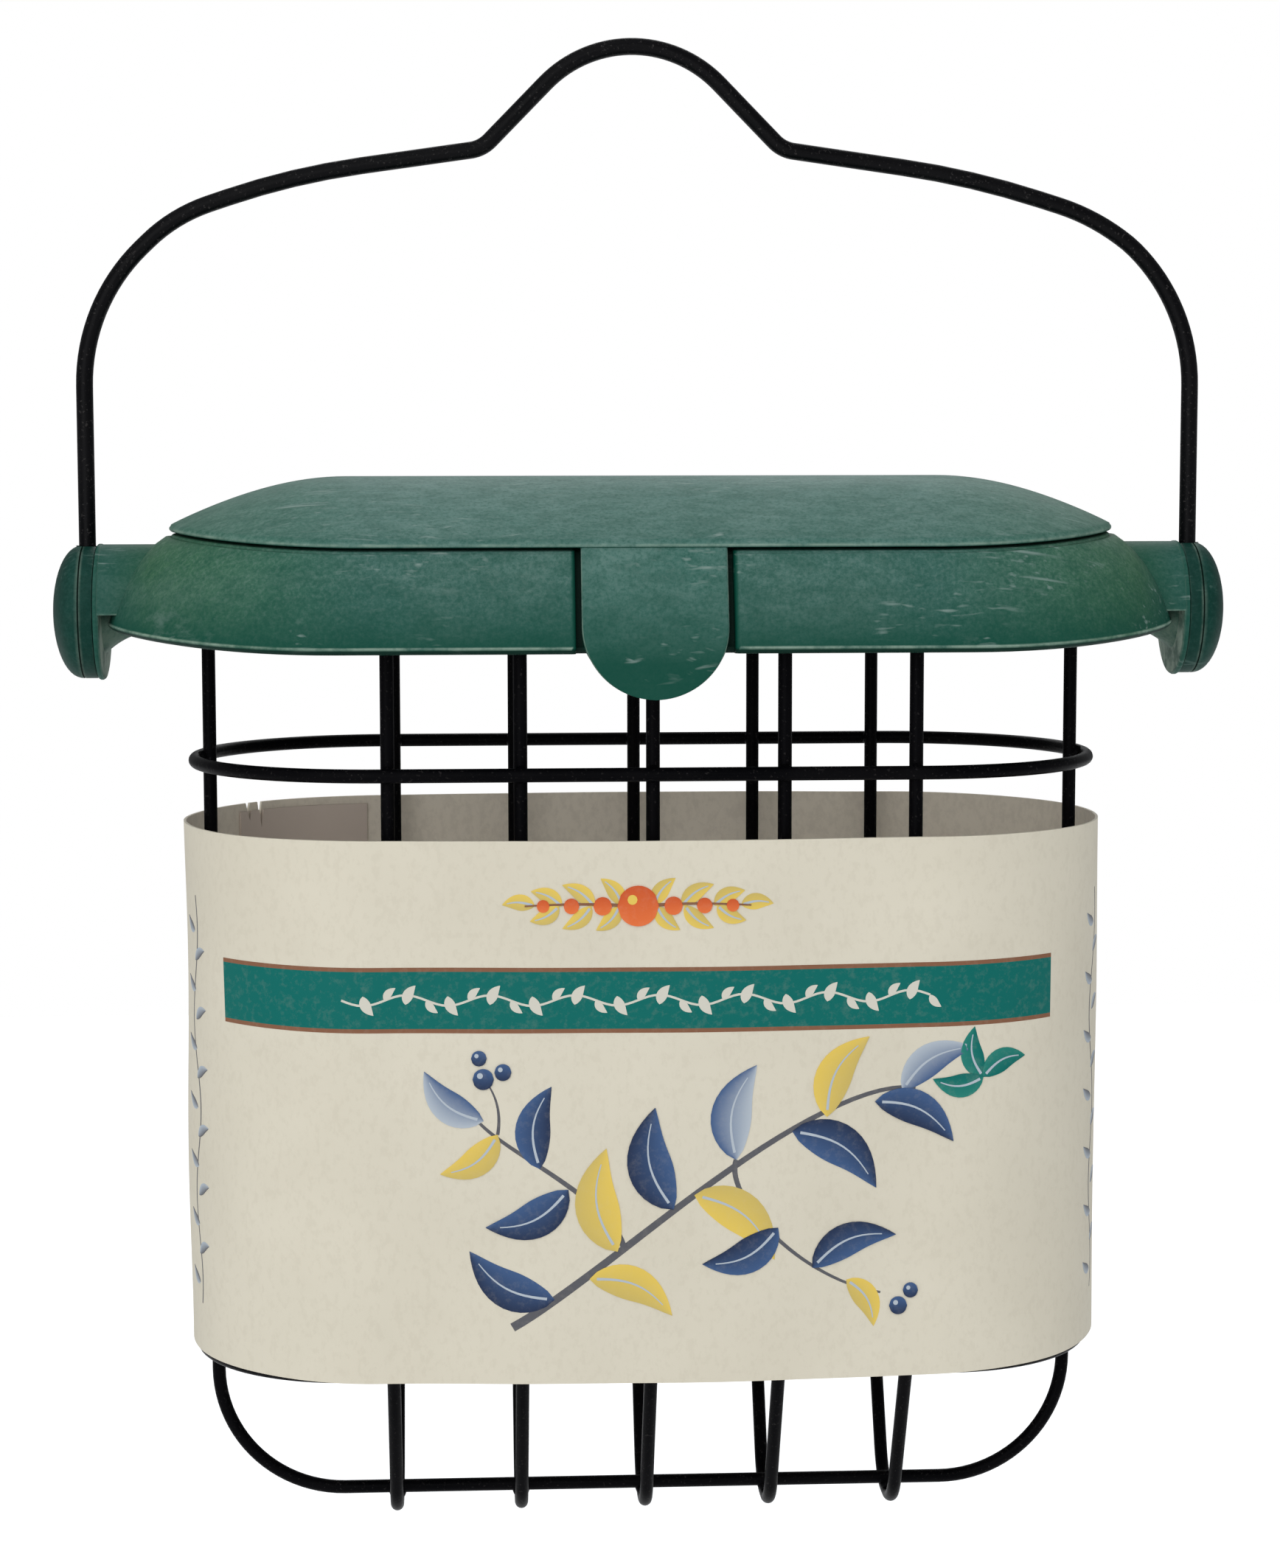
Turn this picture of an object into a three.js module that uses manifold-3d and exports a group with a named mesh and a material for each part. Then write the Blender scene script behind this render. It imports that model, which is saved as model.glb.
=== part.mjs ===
// Suet feeder: a wire cage in a card sleeve, under a flip-top lid, hung from a formed wire handle.
// Millimetres, +Z up, front towards -Y. The origin is where a hook bears, under the handle's hump.
// Heights named below are measured from the pivot axis, on which the handle swings.
import * as THREE from 'three';
import { mergeVertices } from 'three/addons/utils/BufferGeometryUtils.js';
import Module from 'manifold-3d';

const wasm = await Module();
wasm.setup();

// Flip lid. Its outline from above has straight sides and round ends, and overhangs the cage's rings.
const lidEndOverhang = 2.3;
const lidSideOverhang = 0.9;
const lidWall = 1.8;
const lidRimHeight = 1.4;
const ridgeHeight = 20;
const ridgeHalfLength = 48;
const domeFullness = 1.15;

// Canopy: the fixed part of the lid, a sloping skirt round a deck with the fill opening
const skirtEndFlare = 8.5;
const skirtSideFlare = 4.5;
const canopyWall = 1.8;
const canopyEdgeDrop = 2.3;
const canopyEdgeSag = 1.5;
const canopyEdgeRound = 0.6;
const skirtEaseShare = 0.2;
const seamHeight = 11.6;
const seamSag = 1.8;
const seamGap = 0.4;
const seamInset = 0.3;
const collarWall = 1.5;
const collarClearance = 1.2;
const collarDrop = 1.5;
const fillLipHeight = 0.9;

// Pivots at the two ends
const armRadius = 9.8;
const armWall = 1.8;
const flangeRadius = 10.1;
const flangeThickness = 1.8;
const flangeStandoff = 0.3;
const flangeEdgeRound = 0.3;
const hubRadius = 3.2;
const hubFlareRadius = 5.3;
const hubReach = 5.5;
const hubFlareShares = [0.4, 0.6, 0.8, 1];
const pinRunningGap = 0.3;

// Handle wire
const handleWire = 2.5;
const pinReach = 9.5;
const pinBend = 1.9;
const shoulderHeight = 53.6;
const shoulderBend = 28;
const breakHalfWidth = 50.3;
const breakHeight = 64;
const breakBend = 120;
const humpFootHalfWidth = 22.2;
const humpFootHeight = 68;
const humpFootBend = 5;
const humpTopHeight = 82.9;
const humpTopBend = 18;

// End caps over the ends of the handle
const capRadius = 9.6;
const capRim = 3.4;
const capDome = 3;
const capWall = 1.4;
const capGap = 0.3;
const capSlotGap = 0.25;
const capRibWall = 1.2;

// Tab of the flip lid, and the recess that it lies in
const tabWidth = 20.7;
const tabThickness = 1.6;
const tabProud = 0.2;
const tabBottom = 10.9;
const tabSideGap = 0.9;
const recessGap = 0.4;
const recessWall = 1.2;

// Flip lid hinge, at the back
const hingeOffset = 28;
const hingeBarrelRadius = 2.4;
const hingePin = 2;
const hingePinGap = 0.2;
const hingeClearance = 0.5;
const hingeHeight = 8.6;
const knuckleWidth = 8;
const earWidth = 3;
const earGap = 0.3;
const earRootShare = 1.6;
const knuckleRootShare = 0.6;

// Cage
const cageWire = 2;
const weldGap = 0.1;
const shortestStraight = 0.1;
const cageHalfDepth = 26;
const longWireHalfSpan = 64.8;
const crossWireCount = 5;
const crossWirePitch = 18.9;
const crossKneeRise = 36;
const crossKneeBend = 30;
const crossFootBend = 8.5;
const crossFootShare = 0.7;
const longWireBend = 19;
const cageBottomDrop = 136.5;
const cageTopHeight = 5.5;
const topRingHeight = 2;
const upperRingDrop = 22;
const lowerRingRise = 26.1;

// Clips under the deck that hold the top ring
const clipWidth = 5;
const clipWall = 1.5;
const clipGap = 0.2;
const clipReach = 0.9;
const clipPlaceShare = 1.5;

// Card sleeve
const cardThickness = 0.4;
const sleeveFootLift = 1;
const sleeveHeight = 78.4;
const sleeveEndGap = 0.3;
const sleeveSideGap = 0.8;
const sleeveBulge = 2.1;
const flapFrom = 41;
const flapTo = 56;

// Overrun of every cutting or joining body past what it meets
const overrun = 1;

// Places worked out from the sizes above
const handleRadius = handleWire / 2;
const wireRadius = cageWire / 2;
const ringHalfLength = longWireHalfSpan + cageWire + weldGap;
const ringHalfDepth = cageHalfDepth + cageWire + weldGap;
const lidHalfLength = ringHalfLength + wireRadius + lidEndOverhang;
const lidHalfDepth = ringHalfDepth + wireRadius + lidSideOverhang;
const canopyHalfLength = lidHalfLength + skirtEndFlare;
const canopyHalfDepth = lidHalfDepth + skirtSideFlare;
const flangeInner = canopyHalfLength + flangeStandoff;
const flangeOuter = flangeInner + flangeThickness;
const legX = flangeOuter + capGap + handleRadius;
const collarHalfLength = longWireHalfSpan - wireRadius - collarClearance;
const collarHalfDepth = cageHalfDepth - wireRadius - collarClearance;
const lidRimBottom = seamHeight + seamGap;
const lidRimTop = lidRimBottom + lidRimHeight;
const crossFootHalfDepth = crossFootShare * crossFootBend;
const kneeHeight = crossKneeRise - cageBottomDrop;
const sideLean = (cageHalfDepth - crossFootHalfDepth) / crossKneeRise;
const lowerRingHeight = lowerRingRise - cageBottomDrop;
const sideDepthAtRing = cageHalfDepth - sideLean * Math.max(0, kneeHeight - lowerRingHeight);
const lowerRingHalfDepth = sideDepthAtRing + (cageWire + weldGap) * Math.hypot(1, sideLean);
const sleeveFoot = lowerRingHeight + sleeveFootLift;
const sleeveTop = sleeveFoot + sleeveHeight;
const pivotZ = handleRadius - humpTopHeight;

const mix = (from, to, share) => from + (to - from) * share;

// Finishes
const greenSkirt = new THREE.MeshStandardMaterial({ color: 0x2f6a58, roughness: 0.5 });
const greenTop = new THREE.MeshStandardMaterial({ color: 0x4a7f6e, roughness: 0.55 });
const blackWire = new THREE.MeshStandardMaterial({ color: 0x141517, roughness: 0.45, metalness: 0.3 });
const brightSteel = new THREE.MeshStandardMaterial({ color: 0xa9abad, roughness: 0.3, metalness: 1 });
const creamCard = new THREE.MeshStandardMaterial({ color: 0xcfc8b5, roughness: 0.85 });

// A closed body: shared corners, no empty triangles, faces pointing out.
function closedBody(positions, triangles) {
  const raw = new THREE.BufferGeometry();
  raw.setAttribute('position', new THREE.Float32BufferAttribute(positions, 3));
  raw.setIndex(triangles);
  const body = mergeVertices(raw);
  const kept = [];
  const index = body.index.array;
  const a = new THREE.Vector3();
  const b = new THREE.Vector3();
  const c = new THREE.Vector3();
  let volume = 0;
  for (let i = 0; i < index.length; i += 3) {
    const [u, v, w] = [index[i], index[i + 1], index[i + 2]];
    if (u === v || v === w || w === u) continue;
    kept.push(u, v, w);
    a.fromBufferAttribute(body.attributes.position, u);
    b.fromBufferAttribute(body.attributes.position, v);
    c.fromBufferAttribute(body.attributes.position, w);
    volume += a.dot(b.cross(c));
  }
  body.setIndex(volume < 0 ? kept.reverse() : kept);
  return body;
}

// Skins a row of outlines that have the same number of points.
function loft(outlines, closed) {
  const around = outlines[0].length;
  const bands = closed ? outlines.length : outlines.length - 1;
  const triangles = [];
  for (let band = 0; band < bands; band++) {
    const next = (band + 1) % outlines.length;
    for (let i = 0; i < around; i++) {
      const j = (i + 1) % around;
      const [p, q, r, s] = [band * around + i, band * around + j, next * around + j, next * around + i];
      triangles.push(p, q, r, p, r, s);
    }
  }
  return closedBody(outlines.flat(2), triangles);
}

// One level outline. Sag lowers its long sides, bulge swells them.
function stadium({ halfLength, halfDepth, z, sag = 0, bulge = 0 }, arcSteps, sideSteps) {
  const straight = halfLength - halfDepth;
  const points = [];
  const add = (x, y) => points.push([x, y, halfDepth > 0 ? z - sag * (y / halfDepth) ** 2 : z]);
  for (const end of [1, -1]) {
    for (let i = 0; i <= arcSteps; i++) {
      const turn = (i / arcSteps - 0.5) * Math.PI;
      add(end * (straight + halfDepth * Math.cos(turn)), end * halfDepth * Math.sin(turn));
    }
    for (let i = 1; i < sideSteps; i++) {
      const along = 1 - (2 * i) / sideSteps;
      add(end * straight * along, end * (halfDepth + bulge * (1 - along ** 2)));
    }
  }
  return points;
}

function stadiumBody(stations, closed, arcSteps, sideSteps) {
  return loft(stations.map((station) => stadium(station, arcSteps, sideSteps)), closed);
}

// Joining and cutting
function toManifold(geometry) {
  const bare = geometry.clone();
  bare.deleteAttribute('normal');
  bare.deleteAttribute('uv');
  const merged = mergeVertices(bare);
  const mesh = new wasm.Mesh({
    numProp: 3,
    vertProperties: new Float32Array(merged.attributes.position.array),
    triVerts: new Uint32Array(merged.index.array),
  });
  return new wasm.Manifold(mesh);
}

function toGeometry(manifold) {
  const mesh = manifold.getMesh();
  const geometry = new THREE.BufferGeometry();
  geometry.setAttribute('position', new THREE.Float32BufferAttribute(mesh.vertProperties, 3));
  geometry.setIndex(Array.from(mesh.triVerts));
  return geometry;
}

const joined = (first, ...rest) => rest.reduce((whole, piece) => whole.add(toManifold(piece)), first);
const cut = (first, ...rest) => rest.reduce((whole, piece) => whole.subtract(toManifold(piece)), first);

// A profile drawn in Y and Z, given its width along X
function alongX(profile, width, centreX, curveSegments = 8) {
  const body = new THREE.ExtrudeGeometry(profile, { depth: width, bevelEnabled: false, curveSegments });
  const axes = new THREE.Matrix4().makeBasis(
    new THREE.Vector3(0, 1, 0), new THREE.Vector3(0, 0, 1), new THREE.Vector3(1, 0, 0),
  );
  return body.applyMatrix4(axes).translate(centreX - width / 2, 0, 0);
}

// A profile drawn in X and Z, given its depth along Y
function alongY(profile, depth, centreY, curveSegments = 8) {
  const body = new THREE.ExtrudeGeometry(profile, { depth, bevelEnabled: false, curveSegments });
  return body.rotateX(Math.PI / 2).translate(0, centreY + depth / 2, 0);
}

function polygon(points) {
  return new THREE.Shape(points.map(([x, y]) => new THREE.Vector2(x, y)));
}

function disc(radius, x = 0, y = 0) {
  return new THREE.Shape().absarc(x, y, radius, 0, 2 * Math.PI);
}

// A profile of radius and distance along X, turned round the pivot axis. end is 1 right, -1 left.
function turnedOnPivot(profile, end, segments) {
  const points = profile.map(([radius, x]) => new THREE.Vector2(radius, x));
  const turned = new THREE.LatheGeometry(points, segments).rotateZ((-end * Math.PI) / 2);
  return closedBody(turned.attributes.position.array, Array.from(turned.index.array));
}

// Bent wire: straight runs joined by round bends, with path stations only where it bends
const bendStep = Math.PI / 16;

class BentWire extends THREE.Curve {
  constructor(corners) {
    super();
    this.runs = [];
    let from = corners[0].at;
    for (let i = 1; i < corners.length - 1; i++) {
      const { at, bend } = corners[i];
      const back = corners[i - 1].at.clone().sub(at).normalize();
      const on = corners[i + 1].at.clone().sub(at).normalize();
      const turn = Math.PI - back.angleTo(on);
      const reach = bend * Math.tan(turn / 2);
      const start = at.clone().addScaledVector(back, reach);
      const end = at.clone().addScaledVector(on, reach);
      const inward = back.clone().add(on).normalize();
      const centre = at.clone().addScaledVector(inward, Math.hypot(reach, bend));
      if (start.distanceTo(from) > shortestStraight) this.runs.push({ from, to: start, steps: 1 });
      this.runs.push({ centre, start, back, turn, bend, steps: Math.max(2, Math.ceil(turn / bendStep)) });
      from = end;
    }
    this.runs.push({ from, to: corners[corners.length - 1].at, steps: 1 });
    this.steps = this.runs.reduce((sum, run) => sum + run.steps, 0);
  }

  locate(t) {
    let step = Math.min(Math.max(t, 0), 1) * this.steps;
    for (const run of this.runs) {
      if (step <= run.steps) return [run, step / run.steps];
      step -= run.steps;
    }
    return [this.runs[this.runs.length - 1], 1];
  }

  getPoint(t) {
    const [run, share] = this.locate(t);
    if (!run.centre) return run.from.clone().lerp(run.to, share);
    const radial = run.start.clone().sub(run.centre).multiplyScalar(Math.cos(run.turn * share));
    return radial.addScaledVector(run.back, -run.bend * Math.sin(run.turn * share)).add(run.centre);
  }

  getTangent(t) {
    const [run, share] = this.locate(t);
    if (!run.centre) return run.to.clone().sub(run.from).normalize();
    const radial = run.start.clone().sub(run.centre).normalize().multiplyScalar(-Math.sin(run.turn * share));
    return radial.addScaledVector(run.back, -Math.cos(run.turn * share)).normalize();
  }

  getPointAt(u) {
    return this.getPoint(u);
  }

  getTangentAt(u) {
    return this.getTangent(u);
  }
}

function wire(corners, diameter, sides) {
  const extrudePath = new BentWire(corners);
  return new THREE.ExtrudeGeometry(disc(diameter / 2), {
    steps: extrudePath.steps, extrudePath, curveSegments: sides / 2, bevelEnabled: false,
  });
}

const corner = (x, y, z, bend) => ({ at: new THREE.Vector3(x, y, z), bend });

// The handle's line, from the right pin's end over the hump to the left one's
function handleWireShape() {
  const humpCentre = humpTopHeight - humpTopBend;
  const toCentre = Math.hypot(humpFootHalfWidth, humpCentre - humpFootHeight);
  const slope = Math.atan2(humpCentre - humpFootHeight, humpFootHalfWidth) + Math.asin(humpTopBend / toCentre);
  const apex = humpFootHeight + humpFootHalfWidth * Math.tan(slope);
  const half = [
    [legX - pinReach, 0, 0],
    [legX, 0, pinBend],
    [legX, shoulderHeight, shoulderBend],
    [breakHalfWidth, breakHeight, breakBend],
    [humpFootHalfWidth, humpFootHeight, humpFootBend],
  ];
  const right = half.map(([x, z, bend]) => corner(x, 0, z, bend));
  const left = half.map(([x, z, bend]) => corner(-x, 0, z, bend)).reverse();
  return wire([...right, corner(0, 0, apex, humpTopBend), ...left], handleWire, 10);
}

// End cap: a shallow domed cup with a slot for the handle's leg and two ribs that grip it
function endCap(end) {
  const face = flangeOuter + capGap;
  const domeSteps = 5;
  const inside = capRadius - capWall;
  const profile = [];
  for (let i = 0; i <= domeSteps; i++) {
    const turn = (i / domeSteps) * (Math.PI / 2);
    profile.push([capRadius * Math.sin(turn), face + capRim + capDome * Math.cos(turn)]);
  }
  profile.push([capRadius, face], [inside, face]);
  for (let i = domeSteps - 1; i >= 0; i--) {
    const turn = (i / (domeSteps - 1)) * (Math.PI / 2);
    profile.push([inside * Math.sin(turn), face + capRim + (capDome - capWall) * Math.cos(turn)]);
  }
  const slotHalf = handleRadius + capSlotGap;
  const slot = new THREE.Shape();
  slot.moveTo(face - overrun, -slotHalf);
  slot.lineTo(legX, -slotHalf);
  slot.absarc(legX, 0, slotHalf, -Math.PI / 2, Math.PI / 2);
  slot.lineTo(face - overrun, slotHalf);
  const slotBody = new THREE.ExtrudeGeometry(slot, { depth: capRadius, bevelEnabled: false, curveSegments: 6 });
  slotBody.translate(0, 0, inside / 2);
  const ribs = [1, -1].map((side) => {
    const rib = new THREE.BoxGeometry(capRim, capRibWall, inside / 2);
    const ribX = face + capDome - capWall + capRim / 2;
    return rib.translate(ribX, side * (slotHalf + capRibWall / 2), inside / 2);
  });
  const cup = toManifold(turnedOnPivot(profile, 1, 24));
  const body = toGeometry(cut(joined(cup, ...ribs), slotBody));
  return end > 0 ? body : body.rotateZ(Math.PI);
}

// The skirt's outer face, from the seam (share 0) to the lower edge (share 1)
function skirtStation(share, inset = 0) {
  const out = share * (1 + skirtEaseShare * (1 - share));
  return {
    halfLength: mix(lidHalfLength - seamInset, canopyHalfLength, out) - inset,
    halfDepth: mix(lidHalfDepth - seamInset, canopyHalfDepth, out) - inset,
    z: mix(seamHeight, -canopyEdgeDrop, share),
    sag: mix(seamSag, canopyEdgeSag, share),
  };
}

// A station of the deck, on the crowned surface that the seam lies on
function deckStation(halfLength, halfDepth, z) {
  return { halfLength, halfDepth, z, sag: seamSag * (halfDepth / lidHalfDepth) ** 2 };
}

const skirtShares = [0, 0.25, 0.5, 0.75];
const skirtInnerShares = [0.66, 0.33];
const arcSteps = 14;

function canopyShell() {
  const edge = skirtStation(1);
  const atEdge = (inset, rise) => ({
    ...edge, halfLength: edge.halfLength - inset, halfDepth: edge.halfDepth - inset, z: edge.z + rise,
  });
  const underDeck = seamHeight - canopyWall;
  const fillHalfLength = collarHalfLength - collarWall;
  const fillHalfDepth = collarHalfDepth - collarWall;
  const top = skirtStation(0, canopyWall);
  const lip = { halfLength: fillHalfLength, halfDepth: fillHalfDepth };
  return stadiumBody([
    ...skirtShares.map((share) => skirtStation(share)),
    atEdge(0, canopyEdgeRound),
    atEdge(canopyEdgeRound, 0),
    atEdge(canopyWall, 0),
    ...skirtInnerShares.map((share) => skirtStation(share, canopyWall)),
    deckStation(top.halfLength, top.halfDepth, underDeck),
    deckStation(collarHalfLength, collarHalfDepth, underDeck),
    { halfLength: collarHalfLength, halfDepth: collarHalfDepth, z: -collarDrop },
    { ...lip, z: -collarDrop },
    deckStation(lip.halfLength, lip.halfDepth, seamHeight + fillLipHeight),
    deckStation(collarHalfLength, collarHalfDepth, seamHeight + fillLipHeight),
    deckStation(collarHalfLength, collarHalfDepth, seamHeight),
  ], true, arcSteps, 2);
}

// The space inside the skirt, used to trim what stands outside it
function canopyCore() {
  const inner = [1, ...skirtInnerShares].map((share) => skirtStation(share, canopyWall));
  const top = skirtStation(0, canopyWall);
  const spine = (z) => ({ halfLength: lidHalfLength - lidHalfDepth, halfDepth: 0, z });
  const low = inner[0].z - armRadius;
  return stadiumBody([
    spine(low), { ...inner[0], z: low }, ...inner, deckStation(top.halfLength, top.halfDepth, seamHeight - canopyWall),
    spine(seamHeight - canopyWall),
  ], false, arcSteps, 2);
}

// Half-tube arm that carries the flange, open below
function arm(end) {
  const length = flangeInner - lidHalfLength + overrun;
  const profile = new THREE.Shape();
  profile.absarc(0, 0, armRadius, 0, Math.PI);
  profile.absarc(0, 0, armRadius - armWall, Math.PI, 0, true);
  return alongX(profile, length, end * (flangeInner + overrun / 2 - length / 2), 12);
}

function flange(end) {
  const inside = flangeRadius - flangeEdgeRound;
  return turnedOnPivot([
    [0, flangeInner], [inside, flangeInner], [flangeRadius, flangeInner + flangeEdgeRound],
    [flangeRadius, flangeOuter - flangeEdgeRound], [inside, flangeOuter], [0, flangeOuter],
  ], end, 32);
}

// Flared hub that the handle's pin turns in
function hub(end) {
  const inner = flangeInner - hubReach;
  const flare = [[0, inner], [hubRadius, inner]];
  for (const share of hubFlareShares) {
    flare.push([mix(hubRadius, hubFlareRadius, share ** 3), mix(inner, flangeInner, share)]);
  }
  flare.push([hubFlareRadius, flangeInner + flangeEdgeRound], [0, flangeInner + flangeEdgeRound]);
  return turnedOnPivot(flare, end, 20);
}

function pinBore(end) {
  const length = hubReach + flangeThickness + 2 * overrun;
  return alongX(disc(handleRadius + pinRunningGap), length, end * (flangeOuter + overrun - length / 2));
}

// Front skirt in the middle plane, as a line in Y and Z moved out by an offset
function skirtLine(shares, offset) {
  const at = (share) => {
    const { halfDepth, z, sag } = skirtStation(share);
    return new THREE.Vector2(-halfDepth, z - sag);
  };
  const along = at(1).sub(at(0)).normalize();
  const out = new THREE.Vector2(along.y, -along.x);
  return shares.map((share) => at(share).addScaledVector(out, offset).toArray());
}

const frontShares = [0, 0.25, 0.5, 0.75, 1];
const recessDepth = tabThickness - tabProud + recessGap;
const recessWidth = tabWidth + 2 * tabSideGap;

// Thickening behind the tab's recess, and the recess itself
function recessPad() {
  const outer = skirtLine(frontShares, -canopyWall / 2);
  const inner = skirtLine(frontShares, -recessDepth - recessWall).reverse();
  return alongX(polygon([...outer, ...inner]), recessWidth + 2 * canopyWall, 0);
}

function recessCut() {
  const beyondShares = [-1, ...frontShares, 2];
  const floor = skirtLine(beyondShares, -recessDepth);
  const outer = skirtLine(beyondShares, canopyWall).reverse();
  return alongX(polygon([...floor, ...outer]), recessWidth, 0);
}

// Place of the hinge axis behind the skirt
function hingeLine() {
  const drop = (seamHeight - seamSag - hingeHeight) / (seamHeight + canopyEdgeDrop);
  return skirtStation(drop).halfDepth + hingeClearance + hingeBarrelRadius;
}

const hingeY = hingeLine();

function hingeEar(x) {
  const inside = hingeY - hingeClearance - hingeBarrelRadius - canopyWall / 2;
  const web = polygon([
    [inside, hingeHeight - earRootShare * hingeBarrelRadius], [hingeY, hingeHeight - hingeBarrelRadius],
    [hingeY, hingeHeight], [inside, hingeHeight],
  ]);
  return [alongX(web, earWidth, x), alongX(disc(hingeBarrelRadius, hingeY, hingeHeight), earWidth, x, 10)];
}

const hingeBore = (x, width) => alongX(disc(hingePin / 2 + hingePinGap, hingeY, hingeHeight), width, x);

const earSpread = knuckleWidth / 2 + earGap + earWidth / 2;
const hingePlaces = [-hingeOffset, hingeOffset];

// Clip under the deck: a rib above the top ring and a hook below it
function ringClip(x, side) {
  const from = collarHalfDepth - collarWall / 2;
  const to = ringHalfDepth + wireRadius + clipReach;
  const ringTop = topRingHeight + wireRadius + clipGap;
  const ringFoot = topRingHeight - wireRadius - clipGap;
  const deckFoot = seamHeight - seamSag - canopyWall / 2;
  const box = (low, high) => alongX(polygon([
    [side * from, low], [side * to, low], [side * to, high], [side * from, high],
  ]), clipWidth, x);
  return [box(ringTop, deckFoot), box(ringFoot - clipWall, ringFoot)];
}

function canopy() {
  const ends = [1, -1];
  const arms = cut(joined(toManifold(arm(1)), arm(-1)), canopyCore());
  const ears = hingePlaces.flatMap((x) => [...hingeEar(x - earSpread), ...hingeEar(x + earSpread)]);
  const clipX = clipPlaceShare * crossWirePitch;
  const clips = ends.flatMap((side) => [...ringClip(-clipX, side), ...ringClip(clipX, side)]);
  const whole = joined(
    toManifold(canopyShell()).add(arms),
    ...ends.map(flange), ...ends.map(hub), recessPad(), ...ears, ...clips,
  );
  const bores = hingePlaces.map((x) => hingeBore(x, 2 * earSpread + 2 * earWidth));
  return toGeometry(cut(whole, ...ends.map(pinBore), recessCut(), ...bores));
}

// Flip lid: a low dome with a ridge, its tab in front and two knuckles behind
function domeStation(share, wall) {
  const rise = Math.sin((share * Math.PI) / 2) ** domeFullness;
  const rim = wall > 0 ? lidRimBottom : lidRimTop;
  return {
    halfLength: mix(lidHalfLength - wall, ridgeHalfLength, share),
    halfDepth: (lidHalfDepth - wall) * (1 - share),
    z: mix(rim, ridgeHeight - wall, rise),
    sag: seamSag * (1 - share) ** 2,
  };
}

function tab() {
  const top = lidRimTop - seamSag - lidRimHeight / 2;
  const outer = skirtLine(frontShares, tabProud);
  const inner = skirtLine(frontShares, tabProud - tabThickness);
  const footOut = outer[outer.length - 1][0] - tabProud;
  const side = polygon([
    [-lidHalfDepth, top], ...outer, [footOut, -tabBottom],
    [footOut + tabThickness, -tabBottom], ...inner.reverse(), [-lidHalfDepth + lidWall, top],
  ]);
  const radius = tabWidth / 2;
  const front = new THREE.Shape();
  front.moveTo(radius, lidRimTop);
  front.lineTo(-radius, lidRimTop);
  front.absarc(0, radius - tabBottom, radius, Math.PI, 2 * Math.PI);
  const depth = canopyHalfDepth;
  return toManifold(alongX(side, tabWidth + overrun, 0)).intersect(toManifold(alongY(front, depth, -depth, 10)));
}

function knuckle(x) {
  const rimInside = lidHalfDepth - lidWall;
  const rimFoot = lidRimBottom - seamSag;
  const web = polygon([
    [rimInside, rimFoot], [hingeY - knuckleRootShare * hingeBarrelRadius, rimFoot],
    [hingeY, hingeHeight + hingeBarrelRadius], [rimInside, lidRimTop - seamSag],
  ]);
  return [alongX(web, knuckleWidth, x), alongX(disc(hingeBarrelRadius, hingeY, hingeHeight), knuckleWidth, x, 10)];
}

function flipLid() {
  const domeShares = [1, 0.8, 0.6, 0.43, 0.28, 0.15, 0.06, 0];
  const rimFoot = { ...domeStation(0, 0), z: lidRimBottom };
  const shell = stadiumBody([
    ...domeShares.map((share) => domeStation(share, 0)), rimFoot,
    ...domeShares.map((share) => domeStation(share, lidWall)).reverse(),
  ], false, arcSteps, 4);
  const whole = joined(toManifold(shell).add(tab()), ...hingePlaces.flatMap(knuckle));
  return toGeometry(cut(whole, ...hingePlaces.map((x) => hingeBore(x, knuckleWidth + overrun))));
}

function hingePinShape(x) {
  return alongX(disc(hingePin / 2, hingeY, hingeHeight), 2 * earSpread + earWidth, x, 6);
}

// Cage wires. A cross wire runs straight down to its knees, and its sides then lean in to a narrow foot.
function crossWire(x) {
  const corners = [
    corner(x, -cageHalfDepth, cageTopHeight),
    corner(x, -cageHalfDepth, kneeHeight, crossKneeBend),
    corner(x, -crossFootHalfDepth, -cageBottomDrop, crossFootBend),
    corner(x, crossFootHalfDepth, -cageBottomDrop, crossFootBend),
    corner(x, cageHalfDepth, kneeHeight, crossKneeBend),
    corner(x, cageHalfDepth, cageTopHeight),
  ];
  return wire(corners, cageWire, 8);
}

function longWire() {
  const low = cageWire + weldGap - cageBottomDrop;
  const corners = [
    corner(-longWireHalfSpan, 0, cageTopHeight),
    corner(-longWireHalfSpan, 0, low, longWireBend),
    corner(longWireHalfSpan, 0, low, longWireBend),
    corner(longWireHalfSpan, 0, cageTopHeight),
  ];
  return wire(corners, cageWire, 8);
}

function ring(height, halfDepth) {
  const sides = 8;
  const stations = Array.from({ length: sides }, (_, i) => {
    const turn = (2 * Math.PI * i) / sides;
    const out = wireRadius * Math.cos(turn);
    return {
      halfLength: ringHalfLength + out, halfDepth: halfDepth + out, z: height + wireRadius * Math.sin(turn),
    };
  });
  return stadiumBody(stations, true, 12, 1);
}

// Card sleeve, with the glued overlap at the back near its left end
function sleeveLayer(inset) {
  const station = (extra, z) => ({
    halfLength: ringHalfLength + wireRadius + sleeveEndGap + extra - inset,
    halfDepth: ringHalfDepth + wireRadius + sleeveSideGap + extra - inset,
    bulge: sleeveBulge,
    z,
  });
  return stadiumBody([
    station(cardThickness, sleeveTop), station(cardThickness, sleeveFoot), station(0, sleeveFoot), station(0, sleeveTop),
  ], true, arcSteps, 8);
}

function cardSleeve() {
  const flapWidth = flapTo - flapFrom;
  const zone = new THREE.BoxGeometry(flapWidth, 2 * canopyHalfDepth, 2 * sleeveHeight);
  zone.translate(-flapFrom - flapWidth / 2, canopyHalfDepth, sleeveTop - sleeveHeight / 2);
  const flap = toManifold(sleeveLayer(cardThickness)).intersect(toManifold(zone));
  return toGeometry(toManifold(sleeveLayer(0)).add(flap));
}

// The assembly
function named(name, geometry, material) {
  const mesh = new THREE.Mesh(geometry, material);
  mesh.name = name;
  return mesh;
}

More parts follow.
